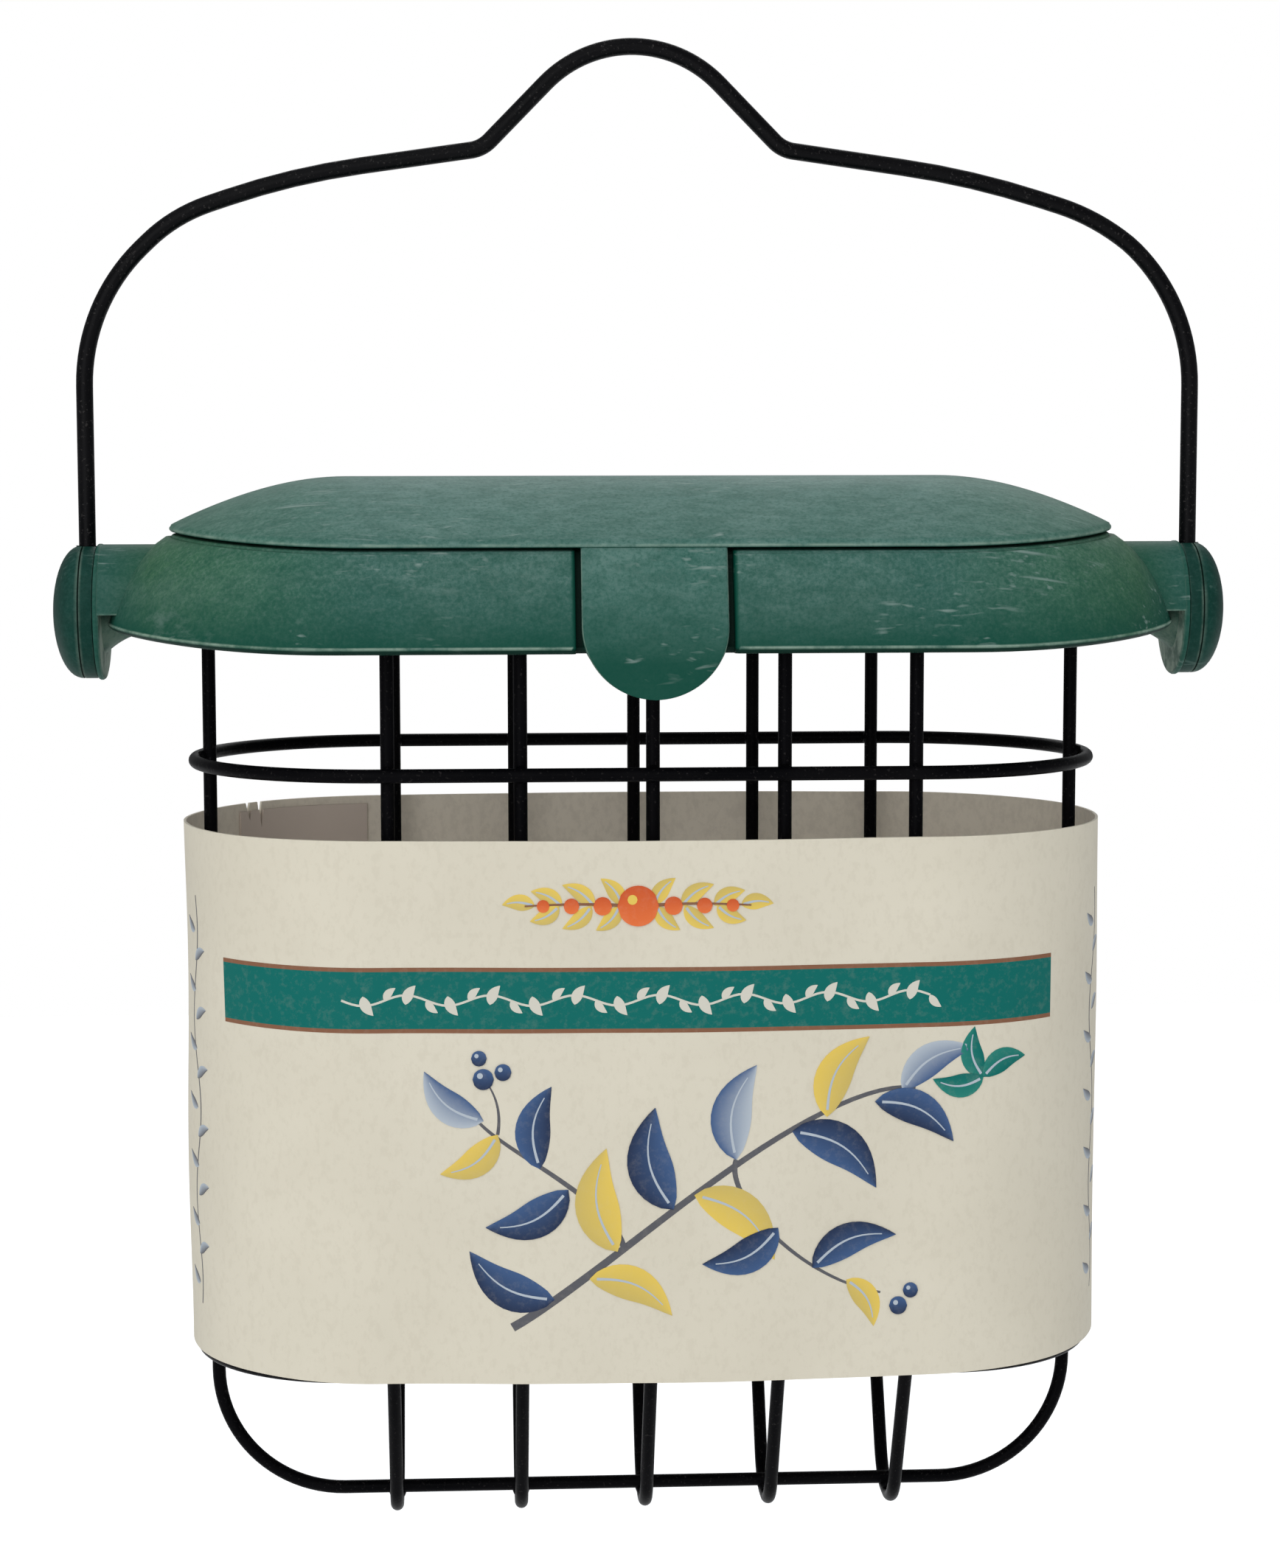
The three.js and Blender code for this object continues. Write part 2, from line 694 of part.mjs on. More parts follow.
const handle = new THREE.Group();
handle.add(
  named('handle_wire', handleWireShape(), blackWire),
  named('left_end_cap', endCap(-1), greenSkirt),
  named('right_end_cap', endCap(1), greenSkirt),
);

const lid = new THREE.Group();
lid.add(
  named('canopy', canopy(), greenSkirt),
  named('flip_lid', flipLid(), greenTop),
  named('left_hinge_pin', hingePinShape(-hingeOffset), brightSteel),
  named('right_hinge_pin', hingePinShape(hingeOffset), brightSteel),
);

const cage = new THREE.Group();
for (let i = 0; i < crossWireCount; i++) {
  const x = (i - (crossWireCount - 1) / 2) * crossWirePitch;
  cage.add(named(`cross_wire_${i + 1}`, crossWire(x), blackWire));
}
cage.add(
  named('long_wire', longWire(), blackWire),
  named('top_ring', ring(topRingHeight, ringHalfDepth), blackWire),
  named('upper_ring', ring(-upperRingDrop, ringHalfDepth), blackWire),
  named('lower_ring', ring(lowerRingHeight, lowerRingHalfDepth), blackWire),
  named('card_sleeve', cardSleeve(), creamCard),
);

const group = new THREE.Group();
group.add(handle, lid, cage);
group.position.z = pivotZ;

export default group;
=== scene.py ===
# %% [markdown]
# # A suet feeder, dressed for its photograph
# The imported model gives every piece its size, its place and the body that it moves with. This file adds what
# a faceted model can't show: smooth moulded plastic, round bent wire with a powder coat, welds, and a loop
# of printed card. Each cell makes one kind of piece and prints what it made.
#
# The model is loaded first. Its box is kept, to compare with the box of the finished piece at the end.

from math import acos, asin, atan2, cos, hypot, pi, radians, sin, tan

import bmesh
import bpy
import numpy as np
from mathutils import Matrix, Vector


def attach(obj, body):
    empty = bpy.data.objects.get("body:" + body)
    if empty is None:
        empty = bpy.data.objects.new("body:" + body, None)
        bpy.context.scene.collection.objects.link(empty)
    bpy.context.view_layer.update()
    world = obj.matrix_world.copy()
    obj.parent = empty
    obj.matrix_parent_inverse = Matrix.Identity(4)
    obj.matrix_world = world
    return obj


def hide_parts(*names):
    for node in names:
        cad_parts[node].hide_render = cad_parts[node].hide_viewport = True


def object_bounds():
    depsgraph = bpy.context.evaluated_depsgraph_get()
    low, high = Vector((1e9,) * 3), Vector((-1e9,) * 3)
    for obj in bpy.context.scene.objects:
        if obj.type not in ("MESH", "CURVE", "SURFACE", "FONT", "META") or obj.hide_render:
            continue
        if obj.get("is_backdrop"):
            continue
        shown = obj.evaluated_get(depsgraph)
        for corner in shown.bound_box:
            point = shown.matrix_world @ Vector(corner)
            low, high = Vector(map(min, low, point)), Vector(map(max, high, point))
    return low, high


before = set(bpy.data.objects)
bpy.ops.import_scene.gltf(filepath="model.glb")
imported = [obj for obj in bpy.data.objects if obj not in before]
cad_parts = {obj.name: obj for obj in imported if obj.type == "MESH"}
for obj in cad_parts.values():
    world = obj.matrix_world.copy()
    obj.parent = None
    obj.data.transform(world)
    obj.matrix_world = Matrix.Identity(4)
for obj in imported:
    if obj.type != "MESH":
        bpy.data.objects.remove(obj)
cad_low, cad_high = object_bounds()


def added(name, data):
    """A new object in the scene."""
    made = bpy.data.objects.new(name, data)
    bpy.context.scene.collection.objects.link(made)
    return made


# %% [markdown]
# ## Camera
# The photographer stood a little to the left, above the middle of the feeder, and about half a metre away.
# The camera's axes are worked out from three angles, so that each number can be read and changed alone.

# %% Place the camera
PHOTO_HEIGHT = 2127
FOCAL_PIXELS = 4446
SENSOR_WIDTH = 36
CAMERA_PLACE = (-0.02765, -0.49061, -0.05607)
YAW, PITCH, ROLL = (radians(a) for a in (3.178, 6.0281, -0.08))


def camera_matrix(place, yaw, pitch, roll):
    """Right, up and backward axes: forward is turned by yaw and lowered by pitch, then both others roll."""
    forward = Vector((sin(yaw) * cos(pitch), cos(yaw) * cos(pitch), -sin(pitch)))
    level = Vector((cos(yaw), -sin(yaw), 0))
    steep = level.cross(forward)
    right = cos(roll) * level + sin(roll) * steep
    up = cos(roll) * steep - sin(roll) * level
    turned = Matrix((right, up, -forward)).transposed().to_4x4()
    return Matrix.Translation(place) @ turned


camera_data = bpy.data.cameras.new("camera")
camera_data.sensor_width = SENSOR_WIDTH
camera_data.lens = SENSOR_WIDTH * FOCAL_PIXELS / PHOTO_HEIGHT
camera_data.clip_start, camera_data.clip_end = 0.01, 20
camera = added("camera", camera_data)
camera.matrix_world = camera_matrix(CAMERA_PLACE, YAW, PITCH, ROLL)
bpy.context.scene.camera = camera
print("lens:", round(camera_data.lens, 1), "mm")

# %% [markdown]
# ## Sizes
# All shapes are worked out in millimetres, with heights measured from the axis that the handle swings on,
# because that is how the feeder is drawn. Lengths and depths are half sizes, from the middle outwards, and
# each ring has a height and a depth. A single step turns them into metres in the model's frame.

# %% Sizes shared by the pieces
MM = 0.001
PIVOT = -81.65
HANDLE_RADIUS, CAGE_RADIUS = 1.25, 1.0
LID_LENGTH, LID_DEPTH, LID_WALL = 70.2, 30.0, 1.8
RIM_FOOT, RIM_TOP, RIDGE_TOP, RIDGE_LENGTH = 12.0, 12.8, 20.0, 44.0
SEAM, SEAM_SAG, SEAM_INSET = 11.6, 1.8, 0.3
EDGE, EDGE_SAG, EDGE_LENGTH, EDGE_DEPTH, WALL = -2.3, 2.2, 79.4, 34.5, 1.8
FLANGE_IN, FLANGE_OUT, CAP_FACE, LEG_X = 79.9, 80.8, 80.86, 82.35
RING_LENGTH = 66.9
RINGS = {"top_ring": (2.0, 28.1), "upper_ring": (-22.0, 28.1), "lower_ring": (-110.4, 22.89)}
TAB_WIDTH, TAB_THICK, TAB_BOTTOM = 20.7, 1.6, 10.9
RECESS_DEPTH, PAD_DEPTH = 1.8, 1.2
CROSS_PITCH = 18.9
CROSS_X = CROSS_PITCH * (np.arange(5) - 2)
X, Y, Z = np.eye(3)
ORIGIN = np.zeros(3)
print("cross wires at x =", CROSS_X, "mm")


def mix(start, end, share):
    """The value that lies a share of the way from start to end: start plus share times the difference."""
    return start + (end - start) * share


def joined(*axes):
    """Coordinates side by side: arrays of x, y and z become one array of points."""
    return np.stack(np.broadcast_arrays(*axes), -1)


# %% [markdown]
# ## Surfaces from grids
# Nearly every piece is a grid of points: rows along it, columns round it. Numpy works out all the points at
# once, and the cells between them are the faces. A shell is such a grid with its ends closed. If the volume
# that it encloses comes out negative, its faces point inwards, and all of them are turned over.

# %% Grids, shells and pieces


def grid_faces(rows, cols, wrap_rows):
    """The four corner numbers of each cell of a grid, counted row by row. Its columns wrap round."""
    r, c = np.arange(rows if wrap_rows else rows - 1)[:, None], np.arange(cols)
    r_next, c_next = (r + 1) % rows, (c + 1) % cols
    corners = (r * cols + c, r * cols + c_next, r_next * cols + c_next, r_next * cols + c)
    return joined(*corners).reshape(-1, 4)


def shell(grid, wrap_rows=False, capped=False, **marks):
    """A closed surface from a grid (rows, columns, xyz). Capped ends get a fan of triangles to their middle.
    Marks are values for each point, such as where an edge is worn."""
    rows, cols = grid.shape[:2]
    points = grid.reshape(-1, 3)
    quads = grid_faces(rows, cols, wrap_rows)
    for key, value in marks.items():
        value = np.broadcast_to(value, grid.shape[:2] + np.shape(value)[2:])
        marks[key] = value.reshape(-1, *value.shape[2:])
    fans = [np.zeros((0, 3), int)]
    for at_end in (0, 1) if capped else ():
        ring = at_end * (rows - 1) * cols + np.arange(cols)
        after = np.roll(ring, -1)
        pair = (ring, after) if at_end else (after, ring)
        fans.append(joined(*pair, len(points)))
        points = np.vstack([points, points[ring].mean(0)])
        marks = {key: np.concatenate([value, value[ring].mean(0)[None]]) for key, value in marks.items()}
    tris = np.vstack(fans)
    halves = np.vstack([quads[:, :3], quads[:, [0, 2, 3]], tris])
    a, b, c = points[halves].transpose(1, 0, 2)
    if np.einsum("ij,ij->", a, np.cross(b, c)) < 0:
        quads, tris = quads[:, ::-1], tris[:, ::-1]
    return {"points": points, "faces": [quads, tris], "marks": marks}


def piece(name, shells, material, body, replaces=(), sharp=38, merge=0.0):
    """Joins shells into one smooth mesh, in metres, that rides on a body. Edges bent past the angle called
    sharp, in degrees, stay crisp. Points closer than merge become one."""
    offsets = np.cumsum([0] + [len(s["points"]) for s in shells])[:-1]
    points = np.vstack([s["points"] for s in shells]) * MM + np.array([0, 0, PIVOT * MM])
    faces = [(f + o).tolist() for s, o in zip(shells, offsets) for f in s["faces"]]
    mesh = bpy.data.meshes.new(name)
    mesh.from_pydata(points.tolist(), [], [face for group in faces for face in group])
    for key in shells[0]["marks"]:
        values = np.concatenate([s["marks"][key] for s in shells]).astype(np.float32)
        if values.ndim == 1:
            mesh.attributes.new(key, "FLOAT", "POINT").data.foreach_set("value", values)
        else:
            colour = np.hstack([values, np.ones((len(values), 1), np.float32)])
            mesh.attributes.new(key, "FLOAT_COLOR", "POINT").data.foreach_set("color", colour.ravel())
    if merge:
        work = bmesh.new()
        work.from_mesh(mesh)
        bmesh.ops.remove_doubles(work, verts=work.verts, dist=merge * MM)
        work.to_mesh(mesh)
        work.free()
    mesh.shade_smooth()
    mesh.set_sharp_from_angle(angle=radians(sharp))
    mesh.materials.append(material)
    made = added(name, mesh)
    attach(made, body)
    if replaces:
        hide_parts(*replaces)
    print(f"{name}: {len(mesh.polygons)} faces on {body}")
    return made


# %% [markdown]
# ## Finishes
# Each finish is a small graph of nodes that reads Object coordinates, so it needs no picture. A few helpers
# keep the graphs short. Each works in the graph that its first socket belongs to. Inputs that are sockets are
# linked, and numbers are set.

# %% Helpers for node graphs


def new_material(name):
    """A material, its shader, and where each point lies on the object."""
    material = bpy.data.materials.new(name)
    material.use_nodes = True
    tree = material.node_tree
    where = node(tree, "TexCoord").outputs["Object"]
    print("finish:", name)
    return material, tree.nodes["Principled BSDF"], where


def plug(socket, value):
    """Links a socket to another, or sets it to a plain value. A colour is written as three numbers."""
    if isinstance(value, bpy.types.NodeSocket):
        socket.id_data.links.new(value, socket)
    elif socket.type == "RGBA":
        socket.default_value = (*value, 1)
    else:
        socket.default_value = value


def node(tree, kind, inputs=None, **settings):
    """A new node in a graph, with its settings made and its inputs plugged in."""
    made = tree.nodes.new("ShaderNode" + kind)
    for key, value in settings.items():
        setattr(made, key, value)
    for key, value in (inputs or {}).items():
        plug(made.inputs[key], value)
    return made


def mark(where, name, output="Fac"):
    """A mark from the mesh."""
    return node(where.id_data, "Attribute", attribute_name=name).outputs[output]


def noise(where, scale, detail=3.0, rough=0.55, stretch=(1, 1, 1), turn=(0, 0, 0)):
    """Cloudy noise from 0 to 1, scale in cells a metre, turned and then stretched along an axis if asked."""
    tree = where.id_data
    placed = node(tree, "Mapping", {"Vector": where, "Rotation": turn})
    drawn = node(tree, "Mapping", {"Vector": placed.outputs[0], "Scale": stretch})
    look = {"Scale": scale, "Detail": detail, "Roughness": rough}
    return node(tree, "TexNoise", {"Vector": drawn.outputs[0], **look}).outputs["Fac"]


def ramp(value, *stops):
    """A value turned into other values: each stop is a place and a level."""
    made = node(value.id_data, "ValToRGB", {"Fac": value})
    elements = made.color_ramp.elements
    while len(elements) < len(stops):
        elements.new(0.5)
    for element, (place, level) in zip(elements, stops):
        element.position = place
        element.color = (level, level, level, 1)
    return made.outputs["Color"]


def blend(share, first, second, how="MIX"):
    """Two colours mixed by a share."""
    return node(share.id_data, "MixRGB", {0: share, 1: first, 2: second}, blend_type=how).outputs[0]


def maths(how, first, second=0.0, clamp=False):
    """A sum, a product or the like of one or two values, kept between 0 and 1 if clamp is set."""
    return node(first.id_data, "Math", {0: first, 1: second}, operation=how, use_clamp=clamp).outputs[0]


def tint(colour, share, strength, other, how="MIX"):
    """A colour moved towards another by a share, times a strength."""
    return blend(maths("MULTIPLY", share, strength), colour, other, how)


def dress(shader, colour, rough, gloss, relief, strength, depth):
    """Gives the shader its colour, roughness and gloss, and a fine relief of a depth in metres."""
    plug(shader.inputs["Base Color"], colour)
    plug(shader.inputs["Roughness"], rough)
    plug(shader.inputs["Specular IOR Level"], gloss)
    bump = node(shader.id_data, "Bump", {"Height": relief, "Strength": strength, "Distance": depth})
    plug(shader.inputs["Normal"], bump.outputs[0])


# %% [markdown]
# ### Moulded green plastic
# The lid is a matt polypropylene. Its green is cloudy, a little yellowed at the rounded ends, with fine grain
# from the mould, a whitish bloom where it has been rubbed, short scratches in patches, and paler edges. The
# mottle comes from noises of different size. The scratches are two noises drawn out along the lid and turned
# a little, cut down to their crests and kept only in patches. Marks on the mesh say where the edges are worn,
# where a painted highlight lies on the flange and hub, and how far painted shade darkens the green. Above 1,
# that painted shade turns a groove nearly black.

# %% Green plastic
PALE_EDGE, WHITE_BLOOM, OLIVE = (0.27, 0.36, 0.29), (0.19, 0.26, 0.235), (0.034, 0.115, 0.045)
IN_SHADE = (0.0004, 0.008, 0.005)
SCRATCH_TURNS = ((0, 0.1, 0.16), (0, -0.16, -0.3))
TENTHS_OF_A_METRE = 10


def scratches(where, turn):
    """The highest crests of a noise that is drawn out along x: thin streaks about a centimetre long."""
    drawn = noise(where, 60, 2, 0.4, (0.55, 20, 20), turn)
    return ramp(drawn, (0.635, 0), (0.78, 1))


def green_plastic(name, light, dark, deep, yellowed, pale=WHITE_BLOOM):
    """Three greens: light and dark in clouds, a deep one for the mottle and for painted shade marked on the
    mesh.
    """
    material, shader, where = new_material(name)
    cloud = noise(where, 46, 4, 0.6)
    mottle = noise(where, 520, 3, 0.7, (0.45, 1, 1))
    grain = noise(where, 1700, 3, 0.75)
    bloom = noise(where, 30, 5, 0.65, (0.5, 1, 2.2))
    low, wear = mark(where, "low"), mark(where, "wear")
    colour = blend(ramp(cloud, (0.34, 0), (0.68, 1)), dark, light)
    across = node(where.id_data, "SeparateXYZ", {"Vector": where}).outputs["X"]
    far_out = maths("MULTIPLY", maths("ABSOLUTE", across), TENTHS_OF_A_METRE)
    colour = tint(colour, ramp(far_out, (0.4, 0), (0.72, 1), (0.79, 0)), yellowed, OLIVE)
    colour = tint(colour, ramp(bloom, (0.5, 0), (0.74, 1)), 0.25, pale)
    colour = tint(colour, ramp(grain, (0.5, 0), (0.66, 1)), 0.2, pale)
    # The low mark is painted shade: it moves the green towards the deep one.
    colour = tint(colour, low, 0.92, deep)
    colour = tint(colour, ramp(mottle, (0.4, 0), (0.62, 1)), 0.3, deep)
    colour = tint(colour, ramp(grain, (0.36, 1), (0.5, 0)), 0.35, deep)
    patch = ramp(noise(where, 48, 2, 0.5, (1, 1.5, 2)), (0.5, 0), (0.6, 1))
    lines = maths("MAXIMUM", *[scratches(where, turn) for turn in SCRATCH_TURNS])
    colour = tint(colour, maths("MULTIPLY", lines, patch), 0.75, pale)
    scuff = ramp(noise(where, 70, 6, 0.75, (0.6, 1, 1.6)), (0.6, 0), (0.76, 1))
    colour = tint(colour, scuff, 0.35, pale)
    # Above 1, the low mark is painted shade that turns a groove nearly black.
    colour = blend(maths("SUBTRACT", low, 1.0, clamp=True), colour, IN_SHADE)
    rubbed = ramp(noise(where, 230, 4, 0.7), (0.38, 0.2), (0.6, 1))
    colour = tint(colour, maths("MULTIPLY", wear, rubbed), 0.7, PALE_EDGE)
    relief = maths("ADD", maths("MULTIPLY", grain, 0.5), noise(where, 260, 3))
    rough = ramp(bloom, (0.3, 0.5), (0.75, 0.64))
    dress(shader, colour, rough, 0.09, relief, 0.22, 0.00012)
    return material


# The skirt's three greens stand for the plastic itself. The lid's are made lighter, a painted light on its
# upward-facing dome, and the caps' are much darker, a painted shade.
SKIRT_TONES = (0.066, 0.142, 0.119), (0.036, 0.11, 0.09), (0.0005, 0.052, 0.033)
LID_LIT_TONES = (0.09, 0.178, 0.153), (0.054, 0.14, 0.116), (0.0005, 0.053, 0.034)
CAP_SHADED_TONES = (0.012, 0.062, 0.048), (0.003, 0.04, 0.03), (0.0005, 0.022, 0.015)
CAP_BLOOM = (0.06, 0.115, 0.098)
SKIRT_GREEN = green_plastic("green_plastic_skirt", *SKIRT_TONES, yellowed=0.8)
LID_LIT_GREEN = green_plastic("green_plastic_lid_lit", *LID_LIT_TONES, yellowed=0.4)
CAP_SHADED_GREEN = green_plastic("green_plastic_cap_shaded", *CAP_SHADED_TONES, yellowed=0.0, pale=CAP_BLOOM)

# %% [markdown]
# ### Powder-coated wire and bright steel
# Powder coat is a thick black skin that flows round the wire. It has a fine orange-peel surface and a soft
# sheen, and the handle is a little glossier than the cage. The hinge pins are plain drawn steel, with fine
# lines along them.

# %% Black wire and steel
BLACK_TONES = (0.0012, 0.0012, 0.0018), (0.003, 0.0028, 0.0034)
BLACK_SPECK = (0.045, 0.041, 0.04)


def powder_coat(name, gloss, specks):
    """Two blacks in clouds, paler specks, and a relief that adds the specks to an orange peel."""
    material, shader, where = new_material(name)
    cloud = noise(where, 90, 3)
    speck = ramp(noise(where, 2200, 2, 0.6), (0.62, 0), (0.7, 1))
    colour = blend(ramp(cloud, (0.35, 0), (0.7, 1)), *BLACK_TONES)
    colour = tint(colour, speck, specks, BLACK_SPECK)
    peel = maths("ADD", noise(where, 900, 2), maths("MULTIPLY", speck, 0.6))
    rough = ramp(cloud, (0.3, 0.34), (0.7, 0.46))
    dress(shader, colour, rough, gloss, peel, 0.35, 0.00008)
    return material


def drawn_steel():
    """Bare metal. One noise, drawn out along x, varies its brightness and its roughness."""
    material, shader, where = new_material("drawn_steel")
    lines = noise(where, 900, 2, 0.5, (0.05, 1, 1))
    plug(shader.inputs["Base Color"], blend(lines, (0.42, 0.42, 0.43), (0.62, 0.62, 0.63)))
    plug(shader.inputs["Roughness"], ramp(lines, (0.3, 0.2), (0.7, 0.36)))
    shader.inputs["Metallic"].default_value = 1.0
    return material


HANDLE_BLACK = powder_coat("black_powder_coat_handle", 0.075, 0.5)
CAGE_BLACK = powder_coat("black_powder_coat_cage", 0.025, 0.3)
STEEL = drawn_steel()
for pin in ("left_hinge_pin", "right_hinge_pin"):
    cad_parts[pin].data.materials.clear()
    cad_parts[pin].data.materials.append(STEEL)

# %% [markdown]
# ### Printed card
# The card is uncoated board. Its inside is given a lighter cream than its outside: painted light for the
# light that reaches into the loop. The card has short fibres, faint clouding and soft handling marks. A mark
# on the mesh says which side a point is on: 0 is the outside, 1 the inside, and 2 the glued overlap, which
# is browner. The printing is a thin layer of ink laid on the card. One material serves all of it, and takes
# its colour from the mesh.

# %% Card and ink
# The inside's tones are lighter than the outside's: painted light for the light that reaches into the loop.
CARD_TONES = (
    ((0.60, 0.556, 0.447), (0.64, 0.596, 0.484)),
    ((0.68, 0.615, 0.51), (0.74, 0.67, 0.565)),
    ((0.51, 0.43, 0.37), (0.56, 0.475, 0.41)),
)
OUTER_FIBRE, INNER_FIBRE, SMUDGE = (0.4, 0.35, 0.26), (0.42, 0.37, 0.31), (0.5, 0.5, 0.4)
BARE_CARD, DARK_INK = (0.62, 0.57, 0.46), (0.02, 0.02, 0.02)


def card_stock():
    """Cream outside, a lighter cream inside as painted light, and brown on the overlap, in clouds and chosen
    by the mark. Fibres lie on both sides and smudges outside.
    """
    material, shader, where = new_material("cream_card")
    cloud = ramp(noise(where, 38, 4, 0.6), (0.3, 0), (0.7, 1))
    fibre = noise(where, 900, 4, 0.7, (1, 1, 0.7))
    smudge = ramp(noise(where, 22, 5, 0.7, (1, 1, 0.8)), (0.6, 0), (0.72, 1))
    outer, inner, overlap = (blend(cloud, *tones) for tones in CARD_TONES)
    outer = tint(outer, ramp(fibre, (0.38, 1), (0.5, 0)), 0.12, OUTER_FIBRE)
    outer = tint(outer, smudge, 0.06, SMUDGE)
    inner = tint(inner, ramp(fibre, (0.4, 1), (0.55, 0)), 0.2, INNER_FIBRE)
    side = mark(where, "inside")
    colour = blend(ramp(side, (0.35, 0), (0.65, 1)), outer, inner)
    colour = blend(maths("GREATER_THAN", side, 1.5), colour, overlap)
    relief = maths("ADD", maths("MULTIPLY", fibre, 0.5), noise(where, 90, 3))
    dress(shader, colour, 0.72, 0.3, relief, 0.25, 0.0001)
    return material


def printed_ink():
    """The colour written on the mesh, thinned where a fibre of the card shows through."""
    material, shader, where = new_material("printed_ink")
    fibre = noise(where, 900, 4, 0.7)
    colour = blend(ramp(fibre, (0.3, 0.06), (0.5, 0.0)), mark(where, "ink", "Color"), BARE_CARD)
    colour = tint(colour, noise(where, 60, 3), 0.08, DARK_INK, "MULTIPLY")
    dress(shader, colour, 0.55, 0.12, fibre, 0.15, 0.00006)
    return material


CARD = card_stock()
INK = printed_ink()

# %% [markdown]
# ## Bent wire
# A wire is a round profile carried along a line. The line is drawn flat, as straight runs joined by round
# bends, which is how a bending machine makes it. At each end the profile shrinks over a short chamfer.

# %% Lines with round bends


def headings(line):
    """The direction of a flat line at each of its points."""
    ahead = np.gradient(line, axis=0)
    return ahead / np.hypot(*ahead.T)[:, None]


def bent_line(corners, step=radians(4)):
    """Points of a flat line through corners (across, up, bend radius). An arc touches both runs of each."""
    corners = [np.array(c, float) for c in corners]
    line = [corners[0][:2][None]]
    for before, corner, after in zip(corners, corners[1:], corners[2:]):
        at, bend = corner[:2], corner[2]
        back, on = (side[:2] - at for side in (before, after))
        back, on = back / np.hypot(*back), on / np.hypot(*on)
        turn = pi - acos(np.clip(back @ on, -1, 1))
        reach = bend * tan(turn / 2)
        inward = (back + on) / np.hypot(*(back + on))
        centre = at + inward * hypot(reach, bend)
        angle = np.linspace(0, turn, max(3, int(turn / step) + 2))[:, None]
        radial = at + back * reach - centre
        line.append(centre + radial * np.cos(angle) - back * bend * np.sin(angle))
    line.append(corners[-1][:2][None])
    return np.vstack(line)


def both_halves(half, middle=()):
    """The corners of a wire that is the same on both sides, from those of one half."""
    return [*half, *middle, *[(-across, up, bend) for across, up, bend in reversed(half)]]


def carried(line, plane, radius, closed=False, sides=18, chamfer=0.25):
    """A circle carried along a flat line: point = line + radius (cos a · across + sin a · square to it).
    Plane gives the directions of the line's two coordinates, the direction square to them, and an origin."""
    first, second, square, origin = (np.array(v, float) for v in plane)
    if closed:
        ahead = np.roll(line, -1, 0) - np.roll(line, 1, 0)
        sizes = np.full(len(line), float(radius))
    else:
        ahead = np.gradient(line, axis=0)
        ahead[0], ahead[-1] = line[1] - line[0], line[-1] - line[-2]
        unit = ahead[[0, -1]] / np.hypot(*ahead[[0, -1]].T)[:, None] * chamfer
        line = np.vstack([line[0], line[0] + unit[0], line[1:-1], line[-1] - unit[1], line[-1]])
        ahead = ahead[[0, *range(len(ahead)), -1]]
        sizes = np.full(len(line), float(radius))
        sizes[[0, -1]] -= chamfer
    ahead /= np.hypot(*ahead.T)[:, None]
    across = joined(-ahead[:, 1], ahead[:, 0])
    angle = np.linspace(0, 2 * pi, sides, endpoint=False)
    out = across @ np.stack([first, second])
    centre = origin + line @ np.stack([first, second])
    ring = np.cos(angle)[None, :, None] * out[:, None] + np.sin(angle)[None, :, None] * square
    return centre[:, None] + sizes[:, None, None] * ring


# %% [markdown]
# The handle is one wire: two pins that turn in the lid's flanges, two legs, wide shoulders, and a hump that a
# hook slides into. The hump's top bend is tangent to both of its slopes, so its corner is worked out. The
# wire is formed by hand, and its upper part leans a little to the left.

# %% Handle
HUMP_TOP, HUMP_BEND, HUMP_FOOT = 82.9, 18, (22.2, 68)
LEAN, LEAN_FROM, LEAN_TO = -1.4, 54, 66
PIN_LENGTH = 9.5
hump_rise = HUMP_TOP - HUMP_BEND - HUMP_FOOT[1]
slope = atan2(hump_rise, HUMP_FOOT[0]) + asin(HUMP_BEND / hypot(HUMP_FOOT[0], hump_rise))
apex = (0, HUMP_FOOT[1] + HUMP_FOOT[0] * tan(slope), HUMP_BEND)
leg = [(LEG_X - PIN_LENGTH, 0, 0), (LEG_X, 0, 1.9), (LEG_X, 53.6, 28)]
right_half = [*leg, (50.3, 64, 120), (*HUMP_FOOT, 5)]
handle_line = bent_line(both_halves(right_half, [apex]), radians(3))
handle_line[:, 0] += LEAN * np.interp(handle_line[:, 1], [LEAN_FROM, LEAN_TO], [0, 1])
handle_grid = carried(handle_line, (X, Z, Y, ORIGIN), HANDLE_RADIUS, sides=24)
handle_skin = shell(handle_grid, capped=True)
piece("handle_bar", [handle_skin], HANDLE_BLACK, "handle", ["handle_wire"])

# %% [markdown]
# Five cross wires run down the front, lean in at the knees to a narrow foot under the block, and go up the
# back. One long wire does the same from end to end, above them, with a wide flat foot. Three rings go round
# the outside and are closed, so their grid wraps both ways.

# %% Cage wires and rings
CAGE_TOP, CAGE_LOW, KNEE, FOOT_DEPTH, SIDE_DEPTH = 5.5, -136.5, -100.5, 5.95, 26
KNEE_BEND, FOOT_BEND, LONG_BEND = 30, 8.5, 19
LONG_LOW, LONG_SPAN = CAGE_LOW + 2.1, 64.8


def cage_wire(node_name, line, plane, closed=False):
    """One wire of the cage, in the place of the plain solid of that name."""
    grid = carried(line, plane, CAGE_RADIUS, closed)
    skin = shell(grid, wrap_rows=closed, capped=not closed)
    piece(f"cage_{node_name}", [skin], CAGE_BLACK, "feeder", [node_name])


cross_half = [(-SIDE_DEPTH, CAGE_TOP, 0), (-SIDE_DEPTH, KNEE, KNEE_BEND), (-FOOT_DEPTH, CAGE_LOW, FOOT_BEND)]
cross_line = bent_line(both_halves(cross_half))
for i, x in enumerate(CROSS_X):
    cage_wire(f"cross_wire_{i + 1}", cross_line, (Y, Z, X, x * X))

